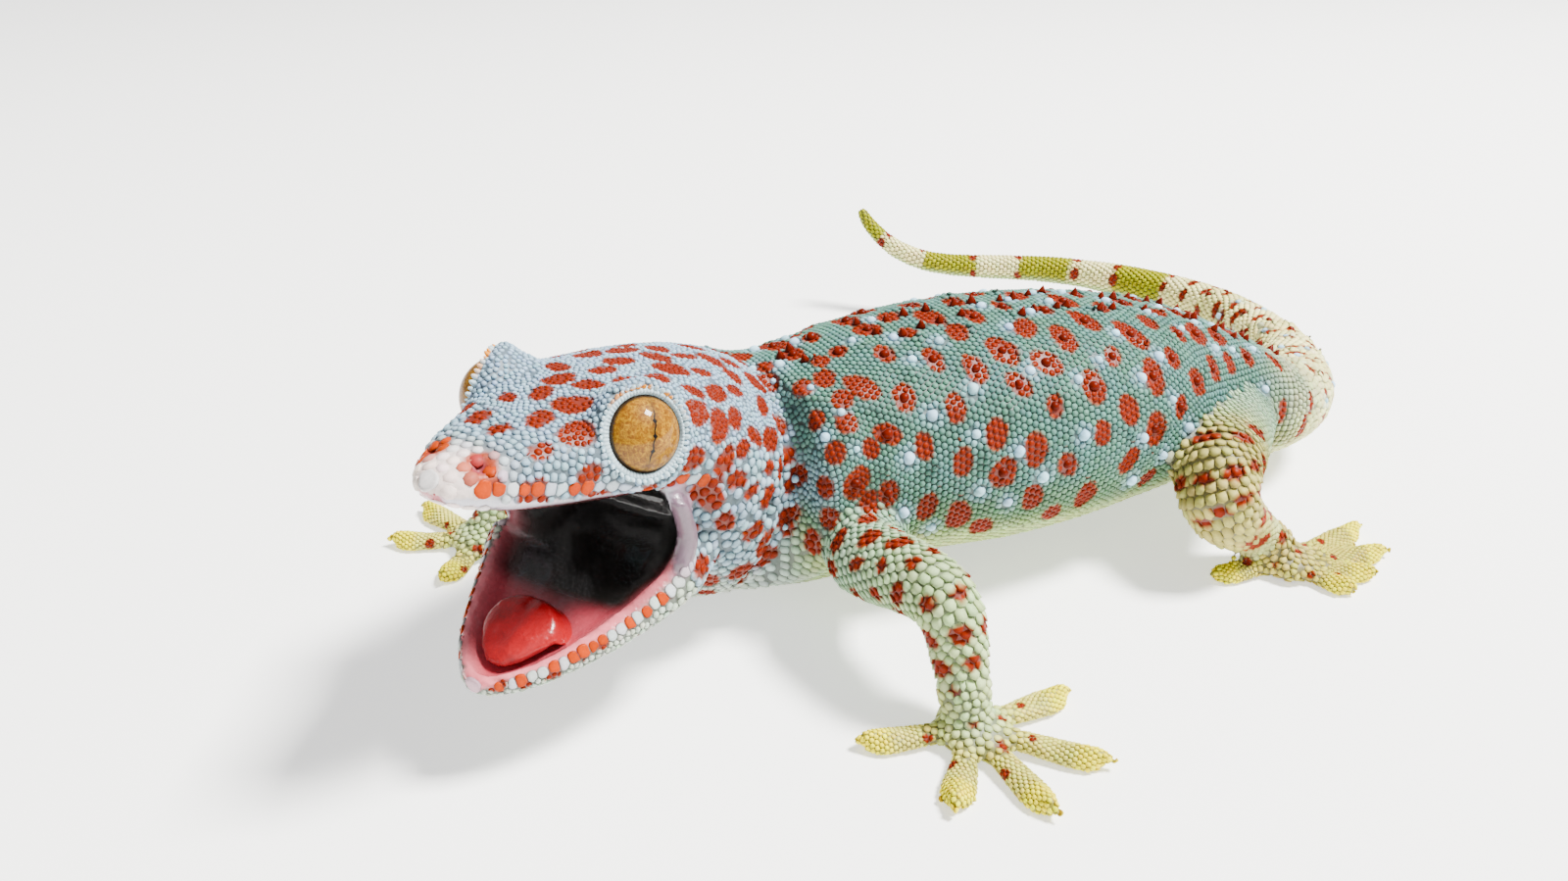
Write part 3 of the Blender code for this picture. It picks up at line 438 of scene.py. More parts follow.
def solids_tree():
    """A search tree of all flesh solids, and the flesh node of each of its triangles."""
    all_points, all_faces, owner, start = [], [], [], 0
    for index, name in enumerate(FLESH):
        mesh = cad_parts[name].data
        points, _ = mesh_arrays(mesh)
        faces = triangles(mesh)
        all_points.append(points)
        all_faces.append(faces + start)
        owner.append(np.full(len(faces), index))
        start += len(points)
    points, faces = np.concatenate(all_points), np.concatenate(all_faces)
    return BVHTree.FromPolygons(points.tolist(), faces.tolist(), all_triangles=True), np.concatenate(owner)


def regions_of(*names):
    return {FLESH.index(name) for name in names}


def inside(region, *names):
    """Which of the given regions belong to the named nodes."""
    return np.isin(region, list(regions_of(*names)))


def parts_of(region, names):
    """Each named node, and which of the given regions are its own."""
    return [(name, region == FLESH.index(name)) for name in names]


def nearest_regions(points):
    tree, owner = solids_tree()
    return np.array([owner[tree.find_nearest(point)[2]] for point in points.tolist()])


def new_mesh(name, points, faces):
    """A mesh in metres from points in millimetres and faces of any number of corners."""
    mesh = bpy.data.meshes.new(name)
    mesh.from_pydata((np.asarray(points) * MM).tolist(), [], [tuple(face) for face in faces])
    mesh.update()
    return mesh


def new_piece(name, mesh, material, slot, *nodes):
    """An object for a mesh, smooth shaded, that rides on the body and stands for the named nodes."""
    made = placed(name, mesh)
    mesh.materials.clear()
    mesh.materials.append(material)
    mesh.shade_smooth()
    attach(made, "root")
    if nodes:
        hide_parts(*nodes)
    return made


def paint(mesh, name, values):
    """Stores a colour or a mask for each point of a mesh."""
    values = np.asarray(values, float)
    if values.ndim == 1:
        made = mesh.attributes.new(name, "FLOAT", "POINT")
        made.data.foreach_set("value", values.astype(np.float32))
        return
    made = mesh.attributes.new(name, "FLOAT_COLOR", "POINT")
    full = np.ones((len(values), 4), np.float32)
    full[:, :3] = values
    made.data.foreach_set("color", full.ravel())


def edge_means(faces, count):
    """A function that gives, for each of a mesh's points, the mean of the points next to it."""
    sides = np.concatenate([faces[:, [0, 1]], faces[:, [1, 2]], faces[:, [2, 0]]])
    edges = np.unique(np.sort(sides, axis=1), axis=0)
    a, b = edges.T
    degree = np.maximum(np.bincount(a, minlength=count) + np.bincount(b, minlength=count), 1)

    def means(points):
        sums = [np.bincount(a, row[b], count) + np.bincount(b, row[a], count) for row in points.T]
        return np.stack(sums, axis=1) / degree[:, None]

    return means


def relaxed(points, means, rounds):
    """Points evened out, each for its own number of rounds, without the shrinking of plain smoothing."""
    for step in range(2 * int(rounds.max())):
        pull = 0.55 if step % 2 == 0 else -0.57
        points = points + (pull * (rounds > step // 2))[:, None] * (means(points) - points)
    return points


def filled(points, normals, means, share, rounds):
    """Points moved outwards only, so that hollows fill up and bulges stay."""
    for _ in range(rounds):
        rise = ((means(points) - points) * normals).sum(axis=1)
        points = points + normals * (np.maximum(rise, 0) * share)[:, None]
    return points


def orbit_dome(side):
    """The bulge of flesh that holds an eyeball, cut flat where the eye looks out."""
    centre, look, across, up = eye_axes(side)
    radius, set_back, cut = ORBIT_MM
    tilts = np.linspace(math.acos((cut + set_back) / radius), math.pi, 16)
    turns = 2 * math.pi * np.arange(ORBIT_SIDES) / ORBIT_SIDES
    rows = []
    for tilt in tilts[:-1]:
        wide, high = radius * math.sin(tilt), radius * math.cos(tilt) - set_back
        rows.append((wide * np.cos(turns), wide * np.sin(turns), high + 0.0 * turns))
    local = np.array(rows).transpose(0, 2, 1).reshape(-1, 3)
    faces, top, last = [], len(local), len(local) - ORBIT_SIDES
    local = np.concatenate([local, [[0, 0, cut], [0, 0, -radius - set_back]]])
    for i in range(ORBIT_SIDES):
        after = (i + 1) % ORBIT_SIDES
        faces.append((i, after, top))
        for a in range(0, last, ORBIT_SIDES):
            b = a + ORBIT_SIDES
            faces += [(a + i, b + i, b + after), (a + i, b + after, a + after)]
        faces.append((last + i, top + 1, last + after))
    place = centre + local[:, :1] * across + local[:, 1:2] * up + local[:, 2:] * look
    return place, np.array(faces)


def flesh_mesh(sizes):
    """The flesh solids, grown over the gaps between them, as one closed mesh of even small faces."""
    points, faces, start = [], [], 0
    for name in FLESH:
        copy = reworked(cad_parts[name].data.copy(), weld=True)
        copy.update()
        place, normal = mesh_arrays(copy)
        points.append(place + normal * CLOSE_GAPS_MM)
        faces.append(triangles(copy) + start)
        start += len(place)
        bpy.data.meshes.remove(copy)
    for side in (1, -1):
        place, face = orbit_dome(side)
        points.append(place)
        faces.append(face + start)
        start += len(place)
    joined = new_mesh("flesh", np.concatenate(points), np.concatenate(faces))
    return remeshed("flesh", joined, sizes.skin_face)


def smoothing(points, region):
    """How many rounds each point is evened out: most on the trunk, least on the feet."""
    rounds = np.zeros(len(points))
    for name, value in SMOOTH_ROUNDS.items():
        rounds[region == FLESH.index(name)] = value
    return rounds


def build_skin_surface(sizes):
    """Fills Skin with the evened surface, set inside the solids by the scales' depth."""
    mesh = flesh_mesh(sizes)
    points, _ = mesh_arrays(mesh)
    faces = triangles(mesh)
    region = nearest_regions(points)
    means = edge_means(faces, len(points))
    points = relaxed(points, means, smoothing(points, region))
    move_points(mesh, points)
    points, normals = mesh_arrays(mesh)
    shoulder = inside(region, *TRUNK_NODES) * ramp(head_places(points)[0], *SHOULDER_BACK)
    shoulder = shoulder * ramp(along_line(points, BODY_LINE)[0], *SHOULDER_RUN)
    points = filled(points, normals, means, shoulder, SHOULDER_ROUNDS)
    foot = inside(region, *FOOT_NODES)
    head = inside(region, *HEAD_NODES)
    depth = np.where(foot, FOOT_DEPTH_MM, np.where(head, HEAD_DEPTH_MM, SKIN_DEPTH_MM))
    depth = depth * (0.4 + 0.6 * ramp(eye_gap(points), 5.6, 7.6))
    points = points - normals * depth[:, None]
    points = folded(points, normals, region)
    points[:, 2] = np.maximum(points[:, 2], SOLE_HEIGHT_MM)
    move_points(mesh, points)
    Skin.points, Skin.normals = mesh_arrays(mesh)
    Skin.faces, Skin.region = faces, region
    Skin.tree = BVHTree.FromPolygons(Skin.points.tolist(), faces.tolist(), all_triangles=True)
    return mesh


def folded(points, normals, region):
    """The skin with its creases behind the head, its nostrils and ears, and the jaw's near side let out."""
    back, out, above = head_places(points)
    body = inside(region, "head", *TRUNK_NODES)
    run, _, _ = along_line(points, BODY_LINE)
    ripple = rough(points, 9.0, 3)
    depth = np.zeros(len(points))
    for place, width, most in NECK_CREASES:
        depth += most * bell(back - place - 1.6 * ripple - 0.10 * np.abs(above), 0.0, width) * (above < 9)
    depth *= body * (run < 30)
    place, head = mirrored(points), inside(region, "head")
    depth += head * 0.9 * np.exp(-(((place - NOSTRIL) ** 2).sum(axis=1) / 0.35))
    depth += head * 1.3 * np.exp(-((((place - EAR) / (0.8, 3.0, 1.9)) ** 2).sum(axis=1)))
    ahead, _, jaw_above = jaw_places(points)
    spread = inside(region, "lower_jaw") * (out < -6) * ramp(jaw_above, -7.0, -2.0)
    spread = spread * JAW_SPREAD_MM * bell(ahead, 8.0, 5.0)
    return points - normals * depth[:, None] - np.outer(spread, head_axes()[1])


class Marks:
    """Spots and tubercles, placed on the skin once and used by skin and scales alike."""

    spots = []
    tubercles = []
    cones = []


def line_place(line, run):
    """The point of a line at a run along it, and the line's direction there, which turns smoothly."""
    line = np.array(line, float)
    spans = np.linalg.norm(np.diff(line, axis=0), axis=1)
    ends = np.concatenate([[0], np.cumsum(spans)])
    ways = np.diff(line, axis=0) / spans[:, None]
    i = int(np.clip(np.searchsorted(ends, run) - 1, 0, len(spans) - 1))
    middles = 0.5 * (ends[1:] + ends[:-1])
    way = unit(np.array([np.interp(run, middles, ways[:, axis]) for axis in range(3)]))
    return line[i] + (run - ends[i]) * ways[i], way


def on_surface(line, run, angle, wanted):
    """Where a ray out of a line at a run and an angle from straight up meets one of the wanted regions."""
    centre, way = line_place(line, run)
    side = unit(np.cross(way, (0.02, 0.01, 1.0)))
    ray = np.cross(side, way) * math.cos(angle) + side * math.sin(angle)
    place, normal, face, _ = Skin.tree.ray_cast(Vector(centre), Vector(ray), BODY_REACH_MM)
    if place is None or Skin.region[Skin.faces[face][0]] not in wanted:
        return None
    return np.array(place), np.array(normal), way


def lattice(line, first, last, spacing, widest_deg, wanted, dice, offset=0.0):
    """Places in staggered rows across a line: point, normal and the line's direction at each."""
    found = []
    for row, run in enumerate(np.arange(first, last, spacing[0])):
        probe = on_surface(line, run, 0.4, wanted)
        if probe is None:
            continue
        radius = max(np.linalg.norm(probe[0] - line_place(line, run)[0]), 2.0)
        step = spacing[1] / radius
        widest = math.radians(widest_deg)
        start = (row % 2) * 0.5 * step + offset * step
        for angle in np.arange(start - math.floor((widest + start) / step) * step, widest, step):
            moved = run + dice.normal(0, 0.10) * spacing[0]
            place = on_surface(line, moved, angle + dice.normal(0, 0.09) * step, wanted)
            if place is not None:
                found.append(place)
    return found


def add_spots(places, half_sizes, dice):
    for point, normal, way in places:
        around = unit(np.cross(way, normal))
        turn = dice.normal(0, 0.35)
        along = unit(np.cross(normal, around))
        long_way = around * math.cos(turn) + along * math.sin(turn)
        grow = dice.uniform(0.72, 1.22)
        stretch = dice.uniform(0.8, 1.25)
        Marks.spots.append((point, long_way, half_sizes[1] * grow * stretch, half_sizes[0] * grow))


def scattered(chosen, spacing, dice, limit=400):
    """Skin points from those chosen that keep a spacing between them."""
    kept = []
    for index in dice.permutation(chosen):
        point = Skin.points[index]
        if all(np.linalg.norm(point - other) > spacing for other in kept):
            kept.append(point)
        if len(kept) >= limit:
            break
    return kept


def place_markings():
    """Chooses every spot and tubercle."""
    dice = np.random.default_rng(SEED)
    Marks.spots, Marks.tubercles, Marks.cones = [], [], []
    trunk, tail = regions_of(*TRUNK_NODES), regions_of(*TAIL_NODES)
    forward, left, up = head_axes()
    body_places = lattice(BODY_LINE, 1.2, RUMP_RUN, *TRUNK_SPOTS, trunk, dice)
    add_spots(body_places, TRUNK_SIZE, dice)
    for point, normal, _ in body_places:
        if dice.uniform() < 0.55 and normal[2] > -0.1:
            Marks.tubercles.append((point, normal, dice.uniform(0.62, 0.82), 0.0))
    run, near, _ = along_line(Skin.points, BODY_LINE)
    side = unit(Skin.points - near)[:, 2]
    neck = inside(Skin.region, *TRUNK_NODES) & (run < NECK_SPOTS_RUN)
    neck &= (side > -0.55) & (spot_depth(Skin.points) < -0.6)
    for point in scattered(np.nonzero(neck)[0], NECK_SPOT_GAP_MM, dice):
        way = unit(up + 0.4 * forward)
        Marks.spots.append((point, way, dice.uniform(1.4, 2.1), dice.uniform(1.1, 1.5)))
    between = lattice(BODY_LINE, 3.5, RUMP_RUN + 2, *TRUNK_TUBERCLES, trunk, dice, 0.5)
    clear = spot_depth(np.array([place[0] for place in between])) < -0.15
    for (point, normal, _), free in zip(between, clear):
        if free and dice.uniform() < 0.8:
            Marks.tubercles.append((point, normal, dice.uniform(0.66, 0.92), 1.0))
    for run in np.arange(5.0, VENT_RUN - 4, CONE_STEP_MM):
        for angle in (-CONE_TURN, CONE_TURN):
            place = on_surface(BODY_LINE, run + dice.normal(0, 0.5), angle + dice.normal(0, 0.06), trunk)
            if place is not None and dice.uniform() < 0.8:
                Marks.cones.append((place[0], place[1], dice.uniform(0.62, 0.85)))
    base = lattice(BODY_LINE, RUMP_RUN + 3, TAIL_SPOT_RUNS[0] - 3, *TAIL_SPOTS, tail | trunk, dice)
    add_spots([place for place in base if dice.uniform() < 0.85], TAIL_SIZE, dice)
    for run in TAIL_SPOT_RUNS:
        ring = lattice(BODY_LINE, run, run + 0.1, *TAIL_RINGS, tail, dice)
        add_spots([place for place in ring if dice.uniform() < 0.8], RING_SIZE, dice)
    for point, normal, _ in lattice(BODY_LINE, VENT_RUN, VENT_RUN + 46, *TAIL_TUBERCLES, tail, dice, 0.3):
        Marks.tubercles.append((point, normal, dice.uniform(0.5, 0.7), float(dice.uniform() < 0.5)))
    for name, line in LEG_LINES.items():
        places = lattice(line, 1.0, 44.0, *LEG_SPOTS, regions_of(name), dice)
        places = [place for place in places if dice.uniform() < 0.85]
        add_spots(places, HIND_LEG_SIZE if name.startswith("hind") else FRONT_LEG_SIZE, dice)
    scatter_spots(dice)
    for turn in np.linspace(-NAPE_TURN, NAPE_TURN, NAPE_TUBERCLES):
        ray = left * math.sin(turn) + up * math.cos(turn)
        place, normal, _, _ = Skin.tree.ray_cast(Vector(in_head(NAPE_BACK, 0.0, -2.0)), Vector(ray), 25.0)
        if place is not None:
            size, pale = dice.uniform(0.42, 0.58), dice.uniform() < 0.5
            Marks.tubercles.append((np.array(place), np.array(normal), size, pale))
    add_lip_spots()


def scatter_spots(dice):
    """The spots on the hands and feet, the head's top, the cheeks and under the jaw."""
    back, out, above = head_places(Skin.points)
    feet = inside(Skin.region, *FOOT_NODES) & (Skin.normals[:, 2] > 0.5)
    palms = np.array([palm for palm, _ in FEET.values()])
    feet &= np.linalg.norm(Skin.points[:, None, :2] - palms, axis=2).min(axis=1) < TOE_FINE_REACH_MM[1] + 0.5
    head = inside(Skin.region, "head")
    dorsal = head & (above > -1.0) & (back > 7.0) & (eye_gap(Skin.points) > 6.4)
    cheek = head & (above <= -1.0) & (back > 29) & (np.abs(out) > 7)
    jaw = inside(Skin.region, "lower_jaw") | (head & (above < -5) & (back > 20))
    jaw &= (mouth_lining(Skin.points, Skin.normals) < 0.1) & ~cheek
    groups = (feet, FOOT_SPOTS), (dorsal, HEAD_SPOTS), (cheek, CHEEK_SPOTS), (jaw, JAW_SPOTS)
    for chosen, (spacing, half_sizes) in groups:
        for point in scattered(np.nonzero(chosen)[0], spacing, dice):
            add_head_spot(point, half_sizes, dice)


def add_lip_spots():
    """The patches along both lips."""
    forward, jaw_forward = head_axes()[0], jaw_axes()[1]
    for side in (1, -1):
        for put, runs, half_width, above, way, half_sizes in (
            (in_head, UPPER_LIP_SPOTS, UPPER_HALF_WIDTH, 0.5, forward, (1.15, 0.95)),
            (in_jaw, LOWER_LIP_SPOTS, LOWER_HALF_WIDTH, -1.3, jaw_forward, (0.95, 1.0)),
        ):
            for run in runs:
                place = put(run, side * (np.interp(run, *half_width) + LIP_OUT_MM), above)
                Marks.spots.append((place, way, *half_sizes))


def add_head_spot(point, half_sizes, dice):
    forward = head_axes()[0]
    normal = np.array(Skin.tree.find_nearest(Vector(point))[1])
    across = unit(np.cross(normal, forward))
    turn = dice.normal(0, 0.7)
    long_way = forward * math.cos(turn) + across * math.sin(turn)
    grow = dice.uniform(0.75, 1.3)
    Marks.spots.append((point, long_way, half_sizes[1] * grow, half_sizes[0] * grow))


def eye_gap(points):
    """How far each point is from the nearer eye's centre."""
    gaps = [np.linalg.norm(points - eye_axes(side)[0], axis=1) for side in (1, -1)]
    return np.minimum(*gaps)


def spot_depth(points):
    """How deep each point lies in a spot: 1 at its middle, 0 on its edge, less than 0 outside."""
    depth = np.full(len(points), -1.0)
    for centre, way, half_length, half_width in Marks.spots:
        close = np.nonzero(np.abs(points - centre).max(axis=1) < half_length + 1.0)[0]
        away = points[close] - centre
        along = away @ way
        aside = np.sqrt(np.maximum((away**2).sum(axis=1) - along**2, 0))
        far = np.sqrt((along / half_length) ** 2 + (aside / half_width) ** 2)
        depth[close] = np.maximum(depth[close], 1 - far)
    return depth


def mouth_lining(points, normals):
    """1 on the wet lining of the mouth, 0 on scaled skin."""
    up, jaw_up = head_axes()[2], jaw_axes()[3]
    back, out, above = head_places(points)
    ahead, _, jaw_above = jaw_places(points)
    wide = np.abs(out)
    roof_edge, floor_edge = np.interp(back, *ROOF_HALF_WIDTH), np.interp(ahead, *FLOOR_HALF_WIDTH)
    roof = ramp(wide, roof_edge + 0.7, roof_edge + 0.1)
    roof = roof * (above < -0.4) * (normals @ up < 0.45) * (back > 1.8) * (back < 34) * (jaw_above > -0.6)
    floor = ramp(wide, floor_edge + 1.0, floor_edge + 0.4)
    floor = floor * (jaw_above > -3.9) * (normals @ jaw_up > -0.45) * (ahead > -2.0) * (above < -1.0)
    floor = floor * np.where(ahead > 26.4, normals @ jaw_up > 0.2, True)
    return np.maximum(roof, floor)


def mouth_corner(points):
    """1 on the smooth skin of each mouth corner's fold, 0 away from it."""
    away = mirrored(points)
    _, near, _ = along_line(away, FOLD)
    return ramp(np.linalg.norm(away - near, axis=1), 2.3, 1.5)


def body_colour(points, colours):
    """Blue-green back, paler flank and cream belly."""
    run, near, _ = along_line(points, BODY_LINE)
    low = ramp(unit(points - near)[:, 2], 0.15, -0.75)
    back, flank, belly = (linear(*value) for value in (colours.back, colours.flank, colours.belly))
    mixed = mix(mix(back, flank, ramp(low, 0.0, 0.45)), belly, ramp(low, 0.45, 0.9))
    mixed = mix(mixed, linear(*colours.tail_cream), 0.75 * ramp(run + 4 * rough(points, 4.0, 22), 78.0, 92.0))
    blotch, green = rough(points, 7.0, 5), rough(points, 3.0, 21)
    return mixed * (1 + 0.16 * blotch[:, None] + green[:, None] * (0.05, 0.02, -0.22))


def tail_colour(points, colours):
    """Olive-yellow and cream bands, with a cream underside."""
    run, near, _ = along_line(points, BODY_LINE)
    first, distance = TAIL_BANDS
    wave = np.cos((run - first + 1.6 * rough(points, 5.0, 8)) / distance * 2 * math.pi)
    band = ramp(wave, -0.18, 0.12) * (0.25 + 0.75 * ramp(run, first - 10, first - 4))
    mixed = mix(linear(*colours.tail_cream), linear(*colours.tail_olive), band)
    under = ramp(unit(points - near)[:, 2], -0.2, -0.7)
    mixed = mix(mixed, linear(*colours.belly), under)
    return mix(mixed, body_colour(points, colours), ramp(run, VENT_RUN + 14, VENT_RUN - 2))


def head_colour(points, colours):
    """Lavender-blue top and cheeks, a pinkish snout and a paler chin."""
    back, _, above = head_places(points)
    mixed = mix(linear(*colours.cheek), linear(*colours.head_top), ramp(above, 1.0, 7.0))
    low = np.maximum(ramp(above, -9.0, -17.0), (jaw_places(points)[0] > 6) * ramp(above, -5, -9))
    mixed = mix(mixed, linear(*colours.chin), low)
    tip = ramp(back + 0.5 * rough(points, 3.0, 4), 6.5, 2.0) * (above > -6)
    mixed = mix(mixed, linear(*colours.snout), tip)
    return mixed * (1 + 0.10 * rough(points, 6.0, 6))[:, None]


def limb_colour(points, colours, leg):
    """Grey-green legs that start in the body's colour; the knees of the hind ones are tan."""
    run, _, _ = along_line(points, LEG_LINES[leg])
    mixed = mix(linear(*colours.upper_limb), linear(*colours.lower_limb), ramp(run, 4.0, 24.0))
    if leg.startswith("hind"):
        tan = ramp(run, 8.0, 19.0) * (1 - 0.5 * ramp(run, 28.0, 36.0))
        mixed = mix(mixed, linear(*colours.hind_limb), tan)
    return mix(mixed, body_colour(points, colours), ramp(run + 3 * rough(points, 2.5, 14), 7.5, 1.5))


def foot_colour(points, colours, foot):
    """Hand or foot: like the limb at its root, cream along the toes and yellow at their tips."""
    palm, digits = FEET[foot]
    away = points[:, :2] - np.array(palm)
    reach = np.linalg.norm(away, axis=1)
    bearing = np.arctan2(away[:, 1], away[:, 0])
    turns = np.radians([digit[0] for digit in digits])
    nearest = np.argmin(np.abs(np.angle(np.exp(1j * (bearing[:, None] - turns)))), axis=1)
    left = np.array([digit[1] for digit in digits])[nearest] - reach
    hind = foot.startswith("hind")
    limb = linear(*(colours.hind_limb if hind else colours.lower_limb))
    sole = linear(*colours.palm) * (HIND_FOOT_TONE if hind else 1.0)
    return mix(mix(sole, limb, ramp(reach, 5.5, 2.0)), linear(*colours.toe_tip), ramp(left, 3.4, 1.8))


def lining_colour(points, colours):
    """Red-pink floor and gums, darkened by near-black painted shadow at the back of the mouth and on the
    palate.
    """
    back, out, above = head_places(points)
    ahead, _, jaw_above = jaw_places(points)
    wide = np.abs(out)
    edge, roof_edge = np.interp(ahead, *FLOOR_HALF_WIDTH), np.interp(back, *ROOF_HALF_WIDTH)
    rim = ramp(jaw_above, -3.6, 0.0) * ramp(wide, edge - 3.4, edge + 0.4)
    mixed = mix(linear(*colours.mouth_flesh), linear(*colours.gum), rim)
    # Painted shadow: the back of the mouth's floor and the palate go near black, less along the near gum
    deep = np.maximum(ramp(ahead, 15.5, 12.0), ramp(above, -2.8, -1.8) * ramp(back, 0.0, 1.5))
    mixed = mix(mixed, linear(*colours.mouth_shadow), deep * (1 - 0.75 * rim * ramp(ahead, 5.0, 9.0)))
    lip = 0.85 * ramp(wide, roof_edge - 0.4, roof_edge + 0.3) * (above > -2.8) * (back < 29)
    return mix(mixed, linear(*colours.lip), lip)


def markings(points, normals, region, colours, spots=True):
    """The colour of skin or scales at each point, and the mask of the wet lining."""
    tint = np.zeros_like(points)
    for name, rows in parts_of(region, FLESH):
        if not rows.any():
            continue
        chosen = (points[rows], colours)
        if name in HEAD_NODES:
            tint[rows] = head_colour(*chosen)
        elif name in TAIL_NODES:
            tint[rows] = tail_colour(*chosen)
        elif name in LEG_NODES:
            tint[rows] = limb_colour(*chosen, name)
        elif name in FOOT_NODES:
            tint[rows] = foot_colour(*chosen, name)
        else:
            behind = along_line(points[rows], BODY_LINE)[0] + 5 * rough(points[rows], 5.0, 7)
            tint[rows] = mix(body_colour(*chosen), head_colour(*chosen), ramp(behind, 9.0, 0.0))
    tint = mix(tint, linear(*colours.tubercle_pale), 0.25 * pale_share(points))
    if spots:
        tint = spotted(rough_depth(points), tint, linear(*colours.spot_edge), linear(*colours.spot))
    tint = face_details(points, tint, colours)
    corner = mouth_corner(points) * inside(region, *HEAD_NODES)
    tint = mix(tint, linear(*colours.mouth_corner), corner)
    wet = mouth_lining(points, normals) * inside(region, *HEAD_NODES)
    tint = mix(tint, lining_colour(points, colours), wet)
    return tint, np.maximum(wet, 0.5 * corner)


def pale_share(points):
    """1 on the pale patches round the white tubercles."""
    share = np.zeros(len(points))
    for centre, _, radius, pale in Marks.tubercles:
        if pale:
            close = np.nonzero(np.abs(points - centre).max(axis=1) < 2.4)[0]
            gap = np.linalg.norm(points[close] - centre, axis=1)
            share[close] = np.maximum(share[close], ramp(gap, 1.6 * radius + 0.6, 1.1 * radius + 0.4))
    return share


def rough_depth(points):
    """How deep each point lies in a spot with an uneven edge."""
    return spot_depth(points) + 0.22 * rough(points, 0.9, 9)


def even_share(points):
    """How far the painted shade between and on the scales is evened out: most inside the spots."""
    return EVEN_SPOTS * ramp(spot_depth(points), -0.05, 0.12)


def spotted(depth, ground, edge, middle):
    """Lays the spots over the ground colour: an orange edge round an orange-red middle."""
    on, core = ramp(depth, -0.02, 0.08)[..., None], ramp(depth, 0.03, 0.16)[..., None]
    return ground * (1 - on) + (edge * (1 - core) + middle * core) * on


def face_details(points, tint, colours):
    """The orange ring round each nostril, and its pink inside darkened by painted shade."""
    edge, middle = linear(*colours.spot_edge), linear(*colours.head_spot)
    ring = np.linalg.norm(mirrored(points) - NOSTRIL, axis=1) + 0.5 * rough(points, 0.8, 12)
    tint = mix(tint, middle * 0.7 + edge * 0.3, ramp(ring, 2.2, 1.5))
    # Painted shade in the nostril's hollow: mouth-flesh pink darkened
    return mix(tint, linear(*colours.mouth_flesh) * 0.7, ramp(ring, 1.0, 0.7))


def new_material(name):
    """An empty material with its shader and the helpers to fill it."""
    material = bpy.data.materials.new(name)
    material.use_nodes = True
    tree = material.node_tree
    tree.nodes.clear()
    output = tree.nodes.new("ShaderNodeOutputMaterial")
    shader = tree.nodes.new("ShaderNodeBsdfPrincipled")
    tree.links.new(shader.outputs["BSDF"], output.inputs["Surface"])
    return material, tree, shader


def node(tree, kind, values=None, links=None, **settings):
    """A shader node with its settings, constant inputs and linked inputs."""
    made = tree.nodes.new(kind)
    for key, value in settings.items():
        setattr(made, key, value)
    for key, value in (values or {}).items():
        made.inputs[key].default_value = value
    for key, source in (links or {}).items():
        tree.links.new(source, made.inputs[key])
    return made


def math_node(tree, operation, *terms):
    """The result of a Math node on numbers and sockets."""
    made = tree.nodes.new("ShaderNodeMath")
    made.operation = operation
    for i, term in enumerate(terms):
        if isinstance(term, (int, float)):
            made.inputs[i].default_value = term
        else:
            tree.links.new(term, made.inputs[i])
    return made.outputs[0]


def grain_group():
    """The node group of fine grain: an uneven shade and the height of small wrinkles."""
    name = "skin grain"
    if name in bpy.data.node_groups:
        return bpy.data.node_groups[name]
    group = bpy.data.node_groups.new(name, "ShaderNodeTree")
    for key, way in (("Size", "INPUT"), ("Shade", "OUTPUT"), ("Height", "OUTPUT")):
        group.interface.new_socket(key, in_out=way, socket_type="NodeSocketFloat")
    start, end = group.nodes.new("NodeGroupInput"), group.nodes.new("NodeGroupOutput")
    place = node(group, "ShaderNodeTexCoord")
    scale = math_node(group, "DIVIDE", 1.0, start.outputs["Size"])
    where = {"Vector": place.outputs["Object"], "Scale": scale}
    noise = node(group, "ShaderNodeTexNoise", {"Detail": 3.0}, where)
    cells = node(group, "ShaderNodeTexVoronoi", {}, where)
    shade = math_node(group, "MULTIPLY_ADD", noise.outputs[0], 0.4, 0.8)
    height = math_node(group, "MULTIPLY_ADD", cells.outputs["Distance"], -0.6, noise.outputs[0])
    group.links.new(shade, end.inputs["Shade"])
    group.links.new(height, end.inputs["Height"])
    return group


def grain(tree, size):
    """The grain group in a material, with grains of a size in metres."""
    made = tree.nodes.new("ShaderNodeGroup")
    made.node_tree = grain_group()
    made.inputs["Size"].default_value = size
    return made.outputs["Shade"], made.outputs["Height"]


def shaded(tree, colour, shade):
    """A colour made lighter and darker by a shade round 1."""
    made = node(tree, "ShaderNodeVectorMath", operation="SCALE", links={"Vector": colour, "Scale": shade})
    return made.outputs["Vector"]


def attribute(tree, name, output="Color"):
    return node(tree, "ShaderNodeAttribute", attribute_name=name).outputs[output]


def bump(tree, height, strength, depth):
    made = node(tree, "ShaderNodeBump", {"Strength": strength, "Distance": depth}, {"Height": height})
    return made.outputs["Normal"]


def skin_material(name):
    """Dry granular skin outside, wet lining in the mouth, coloured by the markings."""
    material, tree, shader = new_material(name)
    tint, wet = attribute(tree, "tint"), attribute(tree, "wet", "Fac")
    shade, height = grain(tree, 0.0005)
    tree.links.new(shaded(tree, tint, shade), shader.inputs["Base Color"])
    dry = math_node(tree, "MULTIPLY_ADD", shade, 0.2, 0.32)
    rough = math_node(tree, "MULTIPLY_ADD", wet, -0.34, dry)
    tree.links.new(rough, shader.inputs["Roughness"])
    tree.links.new(math_node(tree, "MULTIPLY", wet, 0.6), shader.inputs["Coat Weight"])
    shader.inputs["Coat Roughness"].default_value = 0.12
    shader.inputs["Subsurface Weight"].default_value = 0.0
    tree.links.new(bump(tree, height, 0.5, 0.00012), shader.inputs["Normal"])
    return material


